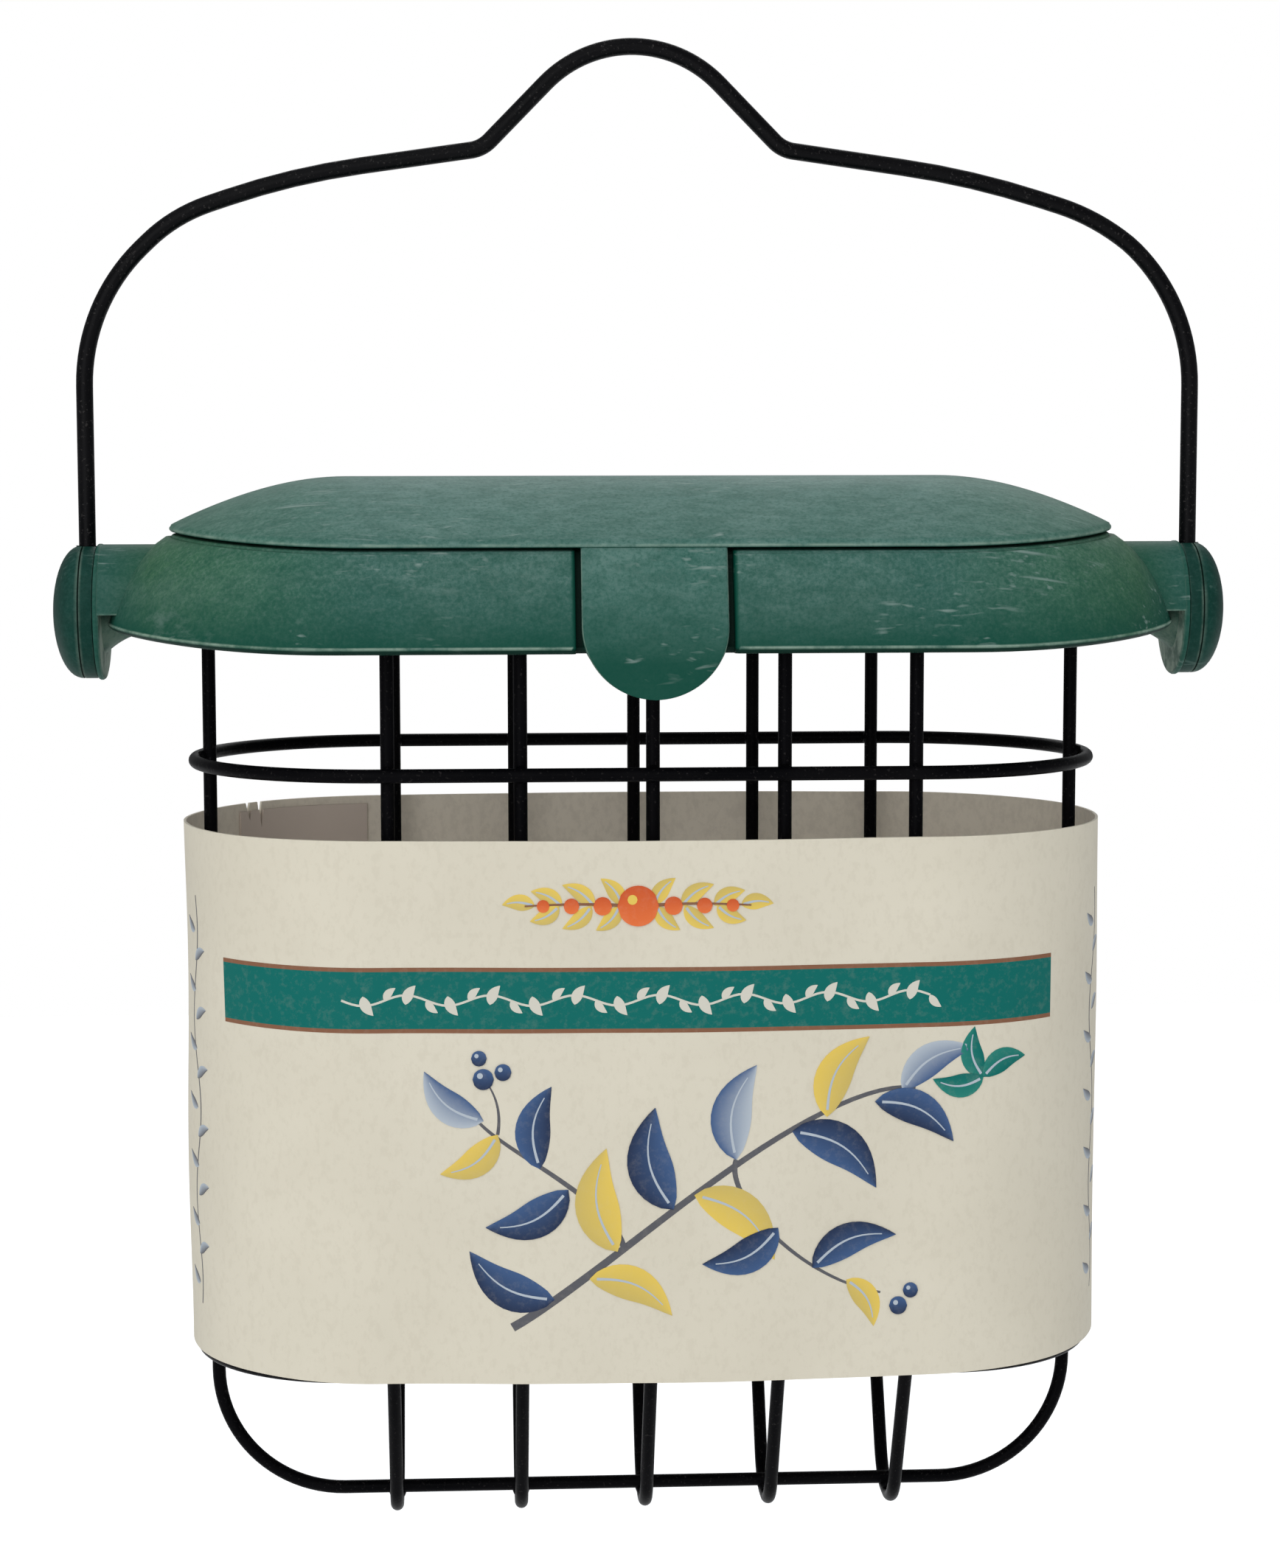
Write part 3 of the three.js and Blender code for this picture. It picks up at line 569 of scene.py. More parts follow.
long_half = [(-LONG_SPAN, CAGE_TOP, 0), (-LONG_SPAN, LONG_LOW, LONG_BEND)]
cage_wire("long_wire", bent_line(both_halves(long_half)), (X, Z, Y, ORIGIN))

half_turn = np.linspace(-pi / 2, pi / 2, 40)
for node_name, (height, depth) in RINGS.items():
    ring_end = joined(RING_LENGTH - depth + depth * np.cos(half_turn), depth * np.sin(half_turn))
    cage_wire(node_name, np.vstack([ring_end, -ring_end]), (X, Y, Z, height * Z), closed=True)

# %% [markdown]
# Where two wires cross they are pressed together and resistance-welded, which leaves a small swelling that
# the powder coat rounds off. Each swelling is a squashed ball between the two wires. One ball is worked out,
# and copied to every crossing by adding its centres to it. At the lower ring the cross wires lean, so the
# place where they touch is turned by that lean.

# %% Welds
TOUCH = 1.05
WELD, WELD_FLAT = 1.3, 1.1
lean = atan2(SIDE_DEPTH - FOOT_DEPTH, KNEE - CAGE_LOW)
lat = np.linspace(0, pi, 9)[:, None]
lon = np.linspace(0, 2 * pi, 12, endpoint=False)[None, :]
ball = joined(np.sin(lat) * np.cos(lon), np.cos(lat), np.sin(lat) * np.sin(lon))
welds = []
for node_name, (height, depth) in RINGS.items():
    turn = lean if node_name == "lower_ring" else 0
    touch_depth, touch_height = depth - TOUCH * cos(turn), height + TOUCH * sin(turn)
    for side in (-1, 1):
        welds += [((x, side * touch_depth, touch_height), (WELD, WELD_FLAT, WELD)) for x in CROSS_X]
        welds.append(((side * (RING_LENGTH - TOUCH), 0, height), (WELD_FLAT, WELD, WELD)))
welds += [((x, 0, LONG_LOW - TOUCH), (WELD, WELD, 1.0)) for x in CROSS_X]
weld_shells = [shell(np.array(centre) + ball * np.array(size)) for centre, size in welds]
piece("cage_welds", weld_shells, CAGE_BLACK, "feeder", merge=0.001)

# %% [markdown]
# ## The oval that the lid is built on
# Seen from above, every level of the lid is an oval with straight sides and half-round ends. One set of
# coefficients holds for all of them: x = a · straight + b · depth + c, and y = d · depth. The columns near
# the middle keep their own x, so that the recess for the tab has upright sides at every level.

# %% Ovals
PAD_X, RECESS_X, GROOVE_X = (12.9, 13.05), (11.1, 11.2, 11.35, 11.55, 11.85), (8.4, 10.4)
KEPT_X = np.array([14.2, *PAD_X[::-1], *RECESS_X[::-1], *GROOVE_X[::-1], 5.6, 2.8])
KEPT_X = np.concatenate([KEPT_X, [0], -KEPT_X[::-1]])
ALONG = np.linspace(1, 0, 11)[1:-1]
ARC = np.linspace(-pi / 2, pi / 2, 41)
side_a = np.concatenate([ALONG, 0 * KEPT_X, -ALONG[::-1]])
side_c = np.concatenate([KEPT_X[0] * (1 - ALONG), KEPT_X, -KEPT_X[0] * (1 - ALONG[::-1])])
OVAL_A = np.concatenate([0 * ARC + 1, side_a, 0 * ARC - 1, -side_a])
OVAL_B = np.concatenate([np.cos(ARC), 0 * side_a, -np.cos(ARC), 0 * side_a])
OVAL_C = np.concatenate([0 * ARC, side_c, 0 * ARC, -side_c])
OVAL_D = np.concatenate([np.sin(ARC), 0 * side_a + 1, -np.sin(ARC), 0 * side_a - 1])


def ovals(length, depth, height, sag):
    """Rows of ovals. The long sides are lower than the ends by sag, so the lid droops at front and back."""
    length, depth, height, sag = (np.reshape(size, (-1, 1)) for size in (length, depth, height, sag))
    x = OVAL_A * (length - depth) + OVAL_B * depth + OVAL_C
    return joined(x, OVAL_D * depth, height - sag * OVAL_D**2)


def flared(share):
    """How far the skirt has gone out at a share s of its height: s times 1.2 - 0.2 s, quicker at first."""
    return share * (1.2 - 0.2 * share)


def flared_end(share):
    """The same for the rounded ends, which bulge: s plus 0.75 times s to the power 0.7 times 1 - s."""
    return share + 0.75 * np.clip(share, 0, 1) ** 0.7 * (1 - share)


def skirt_size(share):
    """Length and depth of the skirt, from the seam at share 0 to the lower edge at share 1."""
    length = mix(LID_LENGTH - SEAM_INSET, EDGE_LENGTH, flared_end(share))
    return length, mix(LID_DEPTH - SEAM_INSET, EDGE_DEPTH, flared(share))


def skirt(share, inset=0.0, lift=0.0):
    """Ovals of the skirt, moved in by inset and up by lift."""
    share = np.asarray(share, float)
    length, depth = skirt_size(share)
    return ovals(length - inset, depth - inset, mix(SEAM, EDGE, share) + lift, mix(SEAM_SAG, EDGE_SAG, share))


# %% [markdown]
# ## Canopy
# The fixed part of the lid is one wall carried round the oval: down the outside of the skirt, round its lower
# edge, up the inside, along under the deck, down and up the collar of the fill opening, and back over the
# deck. At the front the columns behind the tab are pushed in, which makes the recess, and the corners beside
# it are eased. The lower edge is rounded, and its outer side is the pale line in the photograph.

# %% Canopy wall
SHARES = np.linspace(0.03, 0.92, 14)
LIP = 0.9
OPEN_LENGTH, OPEN_DEPTH, COLLAR_WALL, COLLAR_FOOT, COLLAR_TOP = 61.1, 22.3, 1.5, -1.5, 12.5
DECK_LENGTH, DECK_DEPTH, COLLAR_MIDDLE = 66.0, 26.5, 23.0
rounding = np.linspace(0, pi / 2, 5)


def deck_sag(depth):
    """The seam's sag times the square of the depth's share."""
    return SEAM_SAG * (np.asarray(depth) / LID_DEPTH) ** 2


def collar(out, height, sag):
    """Ovals of the collar, by how far out of the fill opening's inner face they lie."""
    return ovals(OPEN_LENGTH + np.array(out), OPEN_DEPTH + np.array(out), height, sag)


under_length, under_depth = np.subtract(skirt_size(0), WALL)
deck_depths = np.array([OPEN_DEPTH + COLLAR_WALL, DECK_DEPTH])
collar_foot = [SEAM - WALL, COLLAR_FOOT + 0.3, COLLAR_FOOT, COLLAR_FOOT, COLLAR_FOOT + 0.3]
collar_top = [COLLAR_TOP - 0.2, COLLAR_TOP, COLLAR_TOP, COLLAR_TOP - 0.2]
rows = [
    skirt([0] * 5, 0.4 * (1 - np.sin(rounding)), -0.4 * (1 - np.cos(rounding))),
    skirt(SHARES),
    skirt([1] * 5, 1.1 * (1 - np.cos(rounding)), LIP * (1 - np.sin(rounding))),
    skirt([1, 1], [1.5, WALL], [0.0, 0.3]),
    skirt(SHARES[::-2], WALL),
    ovals(under_length, under_depth, SEAM - WALL, deck_sag(under_depth)),
    collar([COLLAR_WALL, COLLAR_WALL, 1.2, 0.3, 0], collar_foot, 0),
    collar([0, 0.2, 1.3, COLLAR_WALL], collar_top, deck_sag(COLLAR_MIDDLE)),
    ovals([OPEN_LENGTH + COLLAR_WALL, DECK_LENGTH], deck_depths, SEAM, deck_sag(deck_depths)),
]
canopy_grid = np.vstack(rows)
face_rows = slice(len(rows[0]), len(rows[0]) + len(SHARES))
outer_count, inner_count = sum(map(len, rows[:3])), sum(map(len, rows[:6]))
row_number = np.arange(len(canopy_grid))[:, None]
aside = np.abs(canopy_grid[..., 0])
in_front = (canopy_grid[..., 1] < 0) & (OVAL_B == 0)
recess_push = np.interp(aside, RECESS_X, [RECESS_DEPTH, 0.5, 0.25, 0.08, 0])
pad_push = np.interp(aside, PAD_X, [1, 0]) * np.where(row_number == outer_count, 1.5, PAD_DEPTH)
push = np.where(row_number < outer_count, recess_push, pad_push * (row_number < inner_count)) * in_front
seam_front = np.array([SEAM_INSET - LID_DEPTH, SEAM - SEAM_SAG])
edge_front = np.array([-EDGE_DEPTH, EDGE - EDGE_SAG])
fall = (edge_front - seam_front) / np.hypot(*(edge_front - seam_front))
outward = np.array([fall[1], -fall[0]])
canopy_grid[..., 1] -= push / outward[0]

# %% [markdown]
# The marks of the wall follow its rows. Painted shade darkens the green down the skirt and over all of the
# wall past its lower edge. The underside of the edge and the foot of the recess lie in deeper painted shade,
# and only the outer side of the edge is made paler.

# %% Marks of the canopy wall
BESIDE, PUSHED = 0.9, 0.05
edge_row = face_rows.stop
wear = np.zeros(canopy_grid.shape[:2])
wear[edge_row] = 1.1
low = np.zeros_like(wear)
# Painted shade: darker down the outside of the skirt, dark on all the wall past the lower edge, and darker
# still under the edge.
low[face_rows] = np.linspace(0.0, 0.95, len(SHARES))[:, None] ** 1.8
low[edge_row + 1 :] = 1.0
low[edge_row + 1 : edge_row + 4] = 1.75
# Painted shade in the recess, nearly black in the grooves beside the tab.
groove = np.interp(aside, [*GROOVE_X, *RECESS_X[3:]], [0, BESIDE, BESIDE, 0])
low = np.maximum(low, (push / RECESS_DEPTH + groove) * (push > PUSHED) * (row_number < outer_count))
wear = wear * (push < PUSHED)
canopy_shells = [shell(canopy_grid, wrap_rows=True, wear=wear, low=low)]
print("canopy wall:", canopy_grid.shape[:2], "rows and columns")

# %% [markdown]
# Two half tubes reach out to the flanges that the handle turns in. Each starts inside the skirt's wall, at
# the place where it meets it. The flange is a disc, and behind it is a flared hub with a bore for the
# handle's pin.

# %% Arms, flanges and hubs
ARM, ARM_WALL, ARM_BURIED, LET_IN = 10.0, 2.0, 0.9, 0.4
FLANGE, BORE, HUB, HUB_FLARE, HUB_IN = 10.1, 1.55, 3.2, 6.2, FLANGE_IN - 6.4


def skirt_x(y, z):
    """How far out the skirt lies at a depth y and a height z. The share with that height is found first."""
    share = (SEAM - z) / (SEAM - EDGE)
    for _ in range(6):
        depth = skirt_size(share)[1]
        share = (SEAM - mix(SEAM_SAG, EDGE_SAG, share) * (y / depth) ** 2 - z) / (SEAM - EDGE)
    length, depth = skirt_size(share)
    return length - depth + np.sqrt(depth**2 - y**2)


def turned(profile, end, angle):
    """A profile of (radius, x) turned round the axis of the handle's swing. x may differ with the angle."""
    radius = np.array([r for r, _ in profile], float)[:, None]
    x = np.array([np.broadcast_to(x, angle.shape) for _, x in profile], float)
    return joined(end * x, radius * np.cos(angle), radius * np.sin(angle))


bend = np.concatenate([[0, 0.03], np.linspace(0.08, pi - 0.08, 31), [pi - 0.03, pi]])
arm_y = np.concatenate([ARM * np.cos(bend), (ARM - ARM_WALL) * np.cos(bend[::-1])])
arm_z = np.concatenate([ARM * np.sin(bend), (ARM - ARM_WALL) * np.sin(bend[::-1])])
arm_from = skirt_x(arm_y, arm_z) - ARM_BURIED
arm_ends = (0, len(bend) - 1, len(bend), len(arm_y) - 1)
arm_wear = np.isin(np.arange(len(arm_y)), arm_ends) * 0.9
for end in (1, -1):
    arm_x = end * mix(arm_from, FLANGE_IN + LET_IN, np.linspace(0, 1, 8)[:, None])
    # The arms are darkened a little as painted shade, and their lower edges are made paler.
    canopy_shells.append(shell(joined(arm_x, arm_y, arm_z), capped=True, wear=arm_wear, low=0.6))

full_turn = np.linspace(0, 2 * pi, 64, endpoint=False)
flange_profile = [(0, FLANGE_IN), (FLANGE - 0.5, FLANGE_IN), (FLANGE - 0.2, FLANGE_IN + 0.08)]
flange_profile += [(FLANGE, FLANGE_IN + 0.35), (FLANGE, FLANGE_OUT - 0.2), (FLANGE - 0.1, FLANGE_OUT - 0.04)]
flange_profile += [(FLANGE - 0.3, FLANGE_OUT), (0, FLANGE_OUT)]
# The flange's inner face gets a pale painted highlight, and the hub a fainter one. Both are also darkened as
# painted shade, the hub fully.
flange_wear = np.array([1.9, 1.9, 0.5, 0, 0, 0, 0.1, 0])[:, None]
hub_share = np.linspace(0.3, 1, 9)
hub_flare = zip(mix(HUB, HUB_FLARE, hub_share**2), mix(HUB_IN, FLANGE_IN, hub_share))
hub_profile = [(0, HUB_IN + 2), (BORE, HUB_IN + 2), (BORE, HUB_IN), (HUB - 0.3, HUB_IN), (HUB, HUB_IN + 0.3)]
hub_profile += [*hub_flare, (HUB_FLARE, FLANGE_IN + LET_IN), (0, FLANGE_IN + LET_IN)]
for end in (1, -1):
    canopy_shells.append(shell(turned(flange_profile, end, full_turn), wear=flange_wear, low=0.75))
    canopy_shells.append(shell(turned(hub_profile, end, full_turn[::2]), wear=0.6, low=1.0))
piece("canopy_moulding", canopy_shells, SKIRT_GREEN, "feeder", ["canopy"], merge=0.001)

# %% [markdown]
# Behind the skirt are the ears of the lid's hinge, and under the deck the clips that hold the top ring. They
# are short extrusions: a profile in depth and height, given a width along the feeder. A Bevel modifier
# softens their edges, as the mould does.

# %% Ears, clips and knuckles
HINGE_X, HINGE_Y, HINGE_Z, BARREL = 28, 33.09, 8.6, 2.4
EAR_WIDTH, EAR_OFFSET, KNUCKLE_WIDTH = 2.8, 5.75, 8
CLIP_X, CLIP_FROM, CLIP_TO, CLIP_WIDTH = 28.35, 23.05, 30.0, 5
CLIP_JAWS = ((3.2, 8.9), (-0.7, 0.8))
SOFT_EDGE = 0.25


def extruded(profile, middle, width):
    """A profile of (y, z) points, given a width along x."""
    y, z = np.array(profile, float).T
    x = np.array([[middle - width / 2], [middle + width / 2]])
    # Ears, clips and knuckles are darkened as painted shade, and none of their edges is made paler.
    return shell(joined(x, y, z), capped=True, wear=0.0, low=0.5)


def barrel(middle, width):
    """A round knuckle on the hinge's line: a circle of points, given a width."""
    angle = np.linspace(0, 2 * pi, 28, endpoint=False)
    return extruded(joined(HINGE_Y + BARREL * np.cos(angle), HINGE_Z + BARREL * np.sin(angle)), middle, width)


def softened(made, width):
    """A Bevel modifier on the crisp edges, in millimetres."""
    bevel = made.modifiers.new("soft edges", "BEVEL")
    bevel.width = width * MM
    bevel.segments = 2
    bevel.limit_method = "ANGLE"
    bevel.angle_limit = radians(40)


ear_web = [(29.29, 4.76), (HINGE_Y, HINGE_Z - BARREL), (HINGE_Y, HINGE_Z), (29.29, HINGE_Z)]
knuckle_web = [(28.2, 10.2), (31.65, 10.2), (HINGE_Y, HINGE_Z + BARREL), (28.2, 11.6)]
fittings, knuckles = [], []
for side in (-HINGE_X, HINGE_X):
    for offset in (-EAR_OFFSET, EAR_OFFSET):
        fittings += [extruded(ear_web, side + offset, EAR_WIDTH), barrel(side + offset, EAR_WIDTH)]
    knuckles += [extruded(knuckle_web, side, KNUCKLE_WIDTH), barrel(side, KNUCKLE_WIDTH)]
for x in (-CLIP_X, CLIP_X):
    for side in (-1, 1):
        for low_z, high_z in CLIP_JAWS:
            corners = [(CLIP_FROM, low_z), (CLIP_TO, low_z), (CLIP_TO, high_z), (CLIP_FROM, high_z)]
            fittings.append(extruded([(side * y, z) for y, z in corners], x, CLIP_WIDTH))
softened(piece("canopy_fittings", fittings, SKIRT_GREEN, "feeder"), SOFT_EDGE)
softened(piece("lid_knuckles", knuckles, LID_LIT_GREEN, "lid"), SOFT_EDGE)

# %% [markdown]
# ## Flip lid
# The flip lid is a low dome. Its level ovals shrink to a ridge line, and they rise as a sine does, so the top
# is flat and the sides are steeper. The wall is followed over the outside, round the thin rim, and back
# under. The rim is worn. Painted shade darkens the dome a little towards the rim and its underside more, and
# turns the groove under the rim nearly black.

# %% Dome of the flip lid
DOME_FULLNESS = 0.92


def dome(share, wall):
    """Ovals of the dome from its rim at share 0 to its ridge at share 1."""
    share = np.asarray(share, float)
    rise = np.sin(share * pi / 2) ** DOME_FULLNESS
    rim = mix(RIM_TOP, RIM_FOOT, wall / LID_WALL)
    return ovals(
        mix(LID_LENGTH - wall, RIDGE_LENGTH, share),
        (LID_DEPTH - wall) * (1 - share),
        mix(rim, RIDGE_TOP - wall, rise),
        SEAM_SAG * (1 - share) ** 2,
    )


dome_shares = np.linspace(0, 1, 25) ** 1.4
down = dome_shares[:0:-1]
rim_turn = np.linspace(0, pi, 7)[1:-1]
bead = (RIM_TOP - RIM_FOOT) / 2
rim_out = LID_LENGTH - bead + bead * np.sin(rim_turn), LID_DEPTH - bead + bead * np.sin(rim_turn)
rim_rows = ovals(*rim_out, RIM_FOOT + bead + bead * np.cos(rim_turn), SEAM_SAG)
dome_grid = np.vstack([dome(down, 0.0), rim_rows, dome(dome_shares[::2], LID_WALL)])
rim_row = len(down)
lid_wear = np.zeros(dome_grid.shape[:2])
lid_wear[rim_row + 1 : rim_row + 4] = np.array([0.2, 0.8, 0.3])[:, None]
lid_painted_shade = np.zeros_like(lid_wear)
# Painted shade: a little towards the rim outside, nearly black under the rim, and more over the underside.
lid_painted_shade[:rim_row] = (1 - down[:, None]) ** 3 * 0.15
lid_painted_shade[rim_row + 4 : rim_row + 7] = 1.6
lid_painted_shade[rim_row + 7 :] = 0.7
lid_shells = [shell(dome_grid, wear=lid_wear, low=lid_painted_shade)]
print("dome:", dome_grid.shape[:2], "rows and columns")

# %% [markdown]
# The tab is a flat rounded bar that starts inside the dome's rim and is carried down the skirt. Its width
# closes as a circle does, and its front lies a little proud of the skirt. Below the skirt it hangs straight.
# Each section goes over the front face, round two corners, over the back face and round two more.

# %% Tab of the flip lid
TAB_PROUD, TAB_ROUND, TIP_THINS, TIP_HEIGHT = 0.2, 0.4, 0.8, 0.5
TAB_ROOT = np.array([[-29.35, 10.85], [-29.75, 10.3]])
radius = TAB_WIDTH / 2
face_line = seam_front + (edge_front - seam_front) * np.linspace(0.04, 1, 10)[:, None] + TAB_PROUD * outward
swing = np.linspace(0, pi / 2, 24)
tip_z = radius - TAB_BOTTOM - radius * np.sin(swing)
path = np.vstack([TAB_ROOT, face_line])
path = path[path[:, 1] > tip_z[0]]
tip_y = np.interp(tip_z, [edge_front[1], path[-1, 1]], [face_line[-1, 0], path[-1, 0]])
path = np.vstack([path, joined(tip_y, tip_z)])
half_width = np.concatenate([np.full(len(path) - len(tip_z), radius), radius * np.cos(swing)])
half_width[-1] = 0.05
near_tip = np.clip((path[:, 1] - tip_z[-1]) / TIP_HEIGHT, 0, 1)
thick = TAB_THICK - TIP_THINS * (1 - np.sqrt(1 - (1 - near_tip) ** 2))
ahead = headings(path)
facing = joined(ahead[:, 1], -ahead[:, 0])
facing *= -np.sign(facing[:, :1])
flat, corner = np.linspace(-0.9, 0.9, 9), np.linspace(0, pi / 2, 4)
r, t = np.minimum(TAB_ROUND, half_width)[:, None], thick[:, None]
inner = np.maximum(half_width[:, None] - r, 0)
sine, cosine, front = r * np.sin(corner), r * np.cos(corner), 0 * inner * flat
tab_x = np.hstack([inner * flat, inner + sine, inner + cosine, -inner * flat, -inner - sine, -inner - cosine])
tab_out = np.hstack([front, cosine - r, r - t - sine, front - t, r - t - cosine, sine - r])
tab_yz = path[:, None, :] + tab_out[..., None] * facing[:, None, :]
tab_grid = np.concatenate([tab_x[..., None], tab_yz], -1)
# Painted shade: the tab's green darkens towards its foot.
tab_painted_shade = mix(0.1, 1.0, np.clip((9 - tab_grid[..., 2]) / 15, 0, 1) ** 1.5)
tab_rim = np.maximum(half_width[:, None] * 0.985, half_width[:, None] - 0.45)
tab_wear = 0.9 * (tab_out > -0.35) * (np.abs(tab_x) >= tab_rim) * (tab_grid[..., 2] < 9.5)
lid_shells.append(shell(tab_grid, capped=True, wear=tab_wear, low=tab_painted_shade))
piece("flip_lid_moulding", lid_shells, LID_LIT_GREEN, "lid", ["flip_lid"], merge=0.001)

# %% [markdown]
# ## End caps
# Each end of the handle is covered by a pressed-on cap: a short collar, a seam, and a shallow dome. It turns
# with the handle, so it rides on that body. The dome is a little fuller than an ellipse: its radius is R
# times the root of 1 - s to the power 2.2, at a share s of its height. The collar's edge is flat, except for
# a round notch that lets the handle's leg in. The notch has steep sides, so two columns stand close there.

# %% End caps
CAP_RADIUS, CAP_INSIDE, CAP_SEAM, CAP_DOME, CAP_FULLNESS = 9.85, 8.2, 83.05, 4.4, 2.2
SEAM_RADIUS, SLOT = 9.6, 1.5
slot_y = np.array([-SLOT - 0.6, -SLOT - 0.02, -SLOT + 0.02, -1.3, -0.9, -0.45])
slot_turn = pi / 2 - np.arcsin(np.concatenate([slot_y, [0], -slot_y[::-1]])[::-1] / CAP_RADIUS)
plain_turn = np.linspace(slot_turn[-1], slot_turn[0] + 2 * pi, 54)[1:-1]
cap_turn = np.concatenate([slot_turn, plain_turn])
beside = np.abs(CAP_RADIUS * np.cos(cap_turn))
notch = LEG_X + np.sqrt(np.maximum(SLOT**2 - beside**2, 0))
edge_x = np.where((np.sin(cap_turn) > 0) & (beside < SLOT), notch, CAP_FACE)
dome_turn = np.linspace(0, pi / 2, 15)
dome_radius = CAP_RADIUS * np.sqrt(1 - np.cos(dome_turn) ** CAP_FULLNESS)
inner_turn = dome_turn[2::2]
cap_profile = [*zip(dome_radius, CAP_SEAM + CAP_DOME * np.cos(dome_turn))]
cap_profile += [(SEAM_RADIUS, CAP_SEAM - 0.04), (SEAM_RADIUS, CAP_SEAM - 0.2)]
cap_profile += [(CAP_RADIUS, CAP_SEAM - 0.25), (CAP_RADIUS, CAP_SEAM - 0.6)]
cap_profile = [(r, np.maximum(x, edge_x)) for r, x in cap_profile]
cap_profile += [(CAP_RADIUS, edge_x + 0.25), (CAP_RADIUS - 0.1, edge_x + 0.06), (CAP_RADIUS - 0.3, edge_x)]
cap_profile += [(CAP_INSIDE, edge_x), (CAP_INSIDE, np.maximum(CAP_SEAM, edge_x + 0.1))]
cap_profile += [*zip(CAP_INSIDE * np.cos(inner_turn), CAP_SEAM + 0.5 + 2.2 * np.sin(inner_turn))]
seam_row = len(dome_turn)
cap_wear = np.zeros((len(cap_profile), 1))
cap_wear[[seam_row - 1, seam_row + 2, seam_row + 5], 0] = 0.3, 0.4, 0.15
# Painted shade: the dome darkens towards its middle, the seam's groove is nearly black, and the rest is a
# little darker.
cap_painted_shade = np.full((len(cap_profile), 1), 0.45)
cap_painted_shade[:seam_row, 0] = np.linspace(0.9, 0.2, seam_row)
cap_painted_shade[seam_row : seam_row + 2] = 1.8
for name, end in (("left", -1), ("right", 1)):
    cap = [shell(turned(cap_profile, end, cap_turn), wear=cap_wear, low=cap_painted_shade)]
    piece(f"{name}_cap_moulding", cap, CAP_SHADED_GREEN, "handle", [f"{name}_end_cap"], merge=0.001)

# %% [markdown]
# ## Card sleeve
# The sleeve is a strip of card bent into a loop and glued at the back. Its line from above is an oval whose
# long sides swell a little. It is sampled once, with the length along it, so that every later point on the
# card can be given as a distance along the strip, a height and a distance out from the inner face. A few slow
# waves and one dent keep the strip from looking machined.

# %% The card's line
CARD_TOP, CARD_FOOT, CARD_THICK = -31.0, -109.4, 0.4
CARD_LENGTH, CARD_DEPTH, SWELL = 68.2, 29.9, 2.1
DENT_U, DENT_V, DENT_DEPTH, DENT_WIDTH, DENT_HEIGHT = -57, -67, 0.4, 7, 6
straight = CARD_LENGTH - CARD_DEPTH
across = np.linspace(0, straight, 80)
quarter = np.linspace(0, pi / 2, 90)
front_side = joined(across, -CARD_DEPTH - SWELL * (1 - (across / straight) ** 2) ** 1.3)
right_end = joined(straight + CARD_DEPTH * np.sin(quarter), -CARD_DEPTH * np.cos(quarter))[1:]
front_right = np.vstack([front_side, right_end])
back_right, front_left = (front_right[::-1] * mirror for mirror in ([1, -1], [-1, 1]))
loop = np.vstack([front_right, back_right[1:], -front_right[1:], front_left[1:]])
loop_at = np.concatenate([[0], np.cumsum(np.hypot(*np.diff(loop, axis=0).T))])
LOOP = loop_at[-1]
heading = np.gradient(loop, loop_at, axis=0)
heading[0] = heading[-1] = (1, 0)
out_of = joined(heading[:, 1], -heading[:, 0])


def near(at, u):
    """The distance along the loop from u, the short way round."""
    return np.mod(at - u + LOOP / 2, LOOP) - LOOP / 2


def on_card(u, v, out):
    """A point of the card: u along the strip from the middle of the front, v its height, and out from the
    inner face. It is the loop's point at u, plus its outward direction times out and the wave there."""
    u, v, out = np.broadcast_arrays(np.asarray(u, float), v, out)
    at = np.mod(u, LOOP)
    place, away = (joined(*[np.interp(at, loop_at, xy) for xy in line.T]) for line in (loop, out_of))
    away /= np.linalg.norm(away, axis=-1, keepdims=True)
    turns = at * 2 * pi / LOOP
    wave = 0.2 * np.sin(turns * 5 + v / 16) * np.sin(v / 21 + 1) + 0.1 * np.sin(turns * 13 - v / 9) + 0.1
    dent = np.exp(-((near(at, DENT_U) / DENT_WIDTH) ** 2) - ((v - DENT_V) / DENT_HEIGHT) ** 2)
    lifted = place + away * (out + np.maximum(wave - DENT_DEPTH * dent, -0.25))[..., None]
    return np.concatenate([lifted, v[..., None]], -1)


print("card loop:", round(LOOP, 1), "mm")

# %% [markdown]
# The strip is carried up the outside and down the inside, with a fine round at each cut edge. The glued
# overlap is a second strip inside the back. In the top edge are two small nicks, where the sheet was torn
# from its neighbours: there the height is pressed down over a fraction of a millimetre.

# %% Sleeve
NICKS = ((LOOP / 2 + 60.9, 2.9), (LOOP / 2 + 63.4, 1.6))
NICK_HALF = 0.42
FLAP_FROM, FLAP_TO = LOOP / 2 + 42.4, LOOP / 2 + 65.5
nick_steps = np.array([-0.9, -0.45, -0.2, 0, 0.2, 0.45, 0.9])


def card_top(u):
    """The height of the card's top edge, with a narrow V at each nick."""
    return CARD_TOP - sum(depth * np.clip(1 - np.abs(near(u, at)) / NICK_HALF, 0, 1) for at, depth in NICKS)


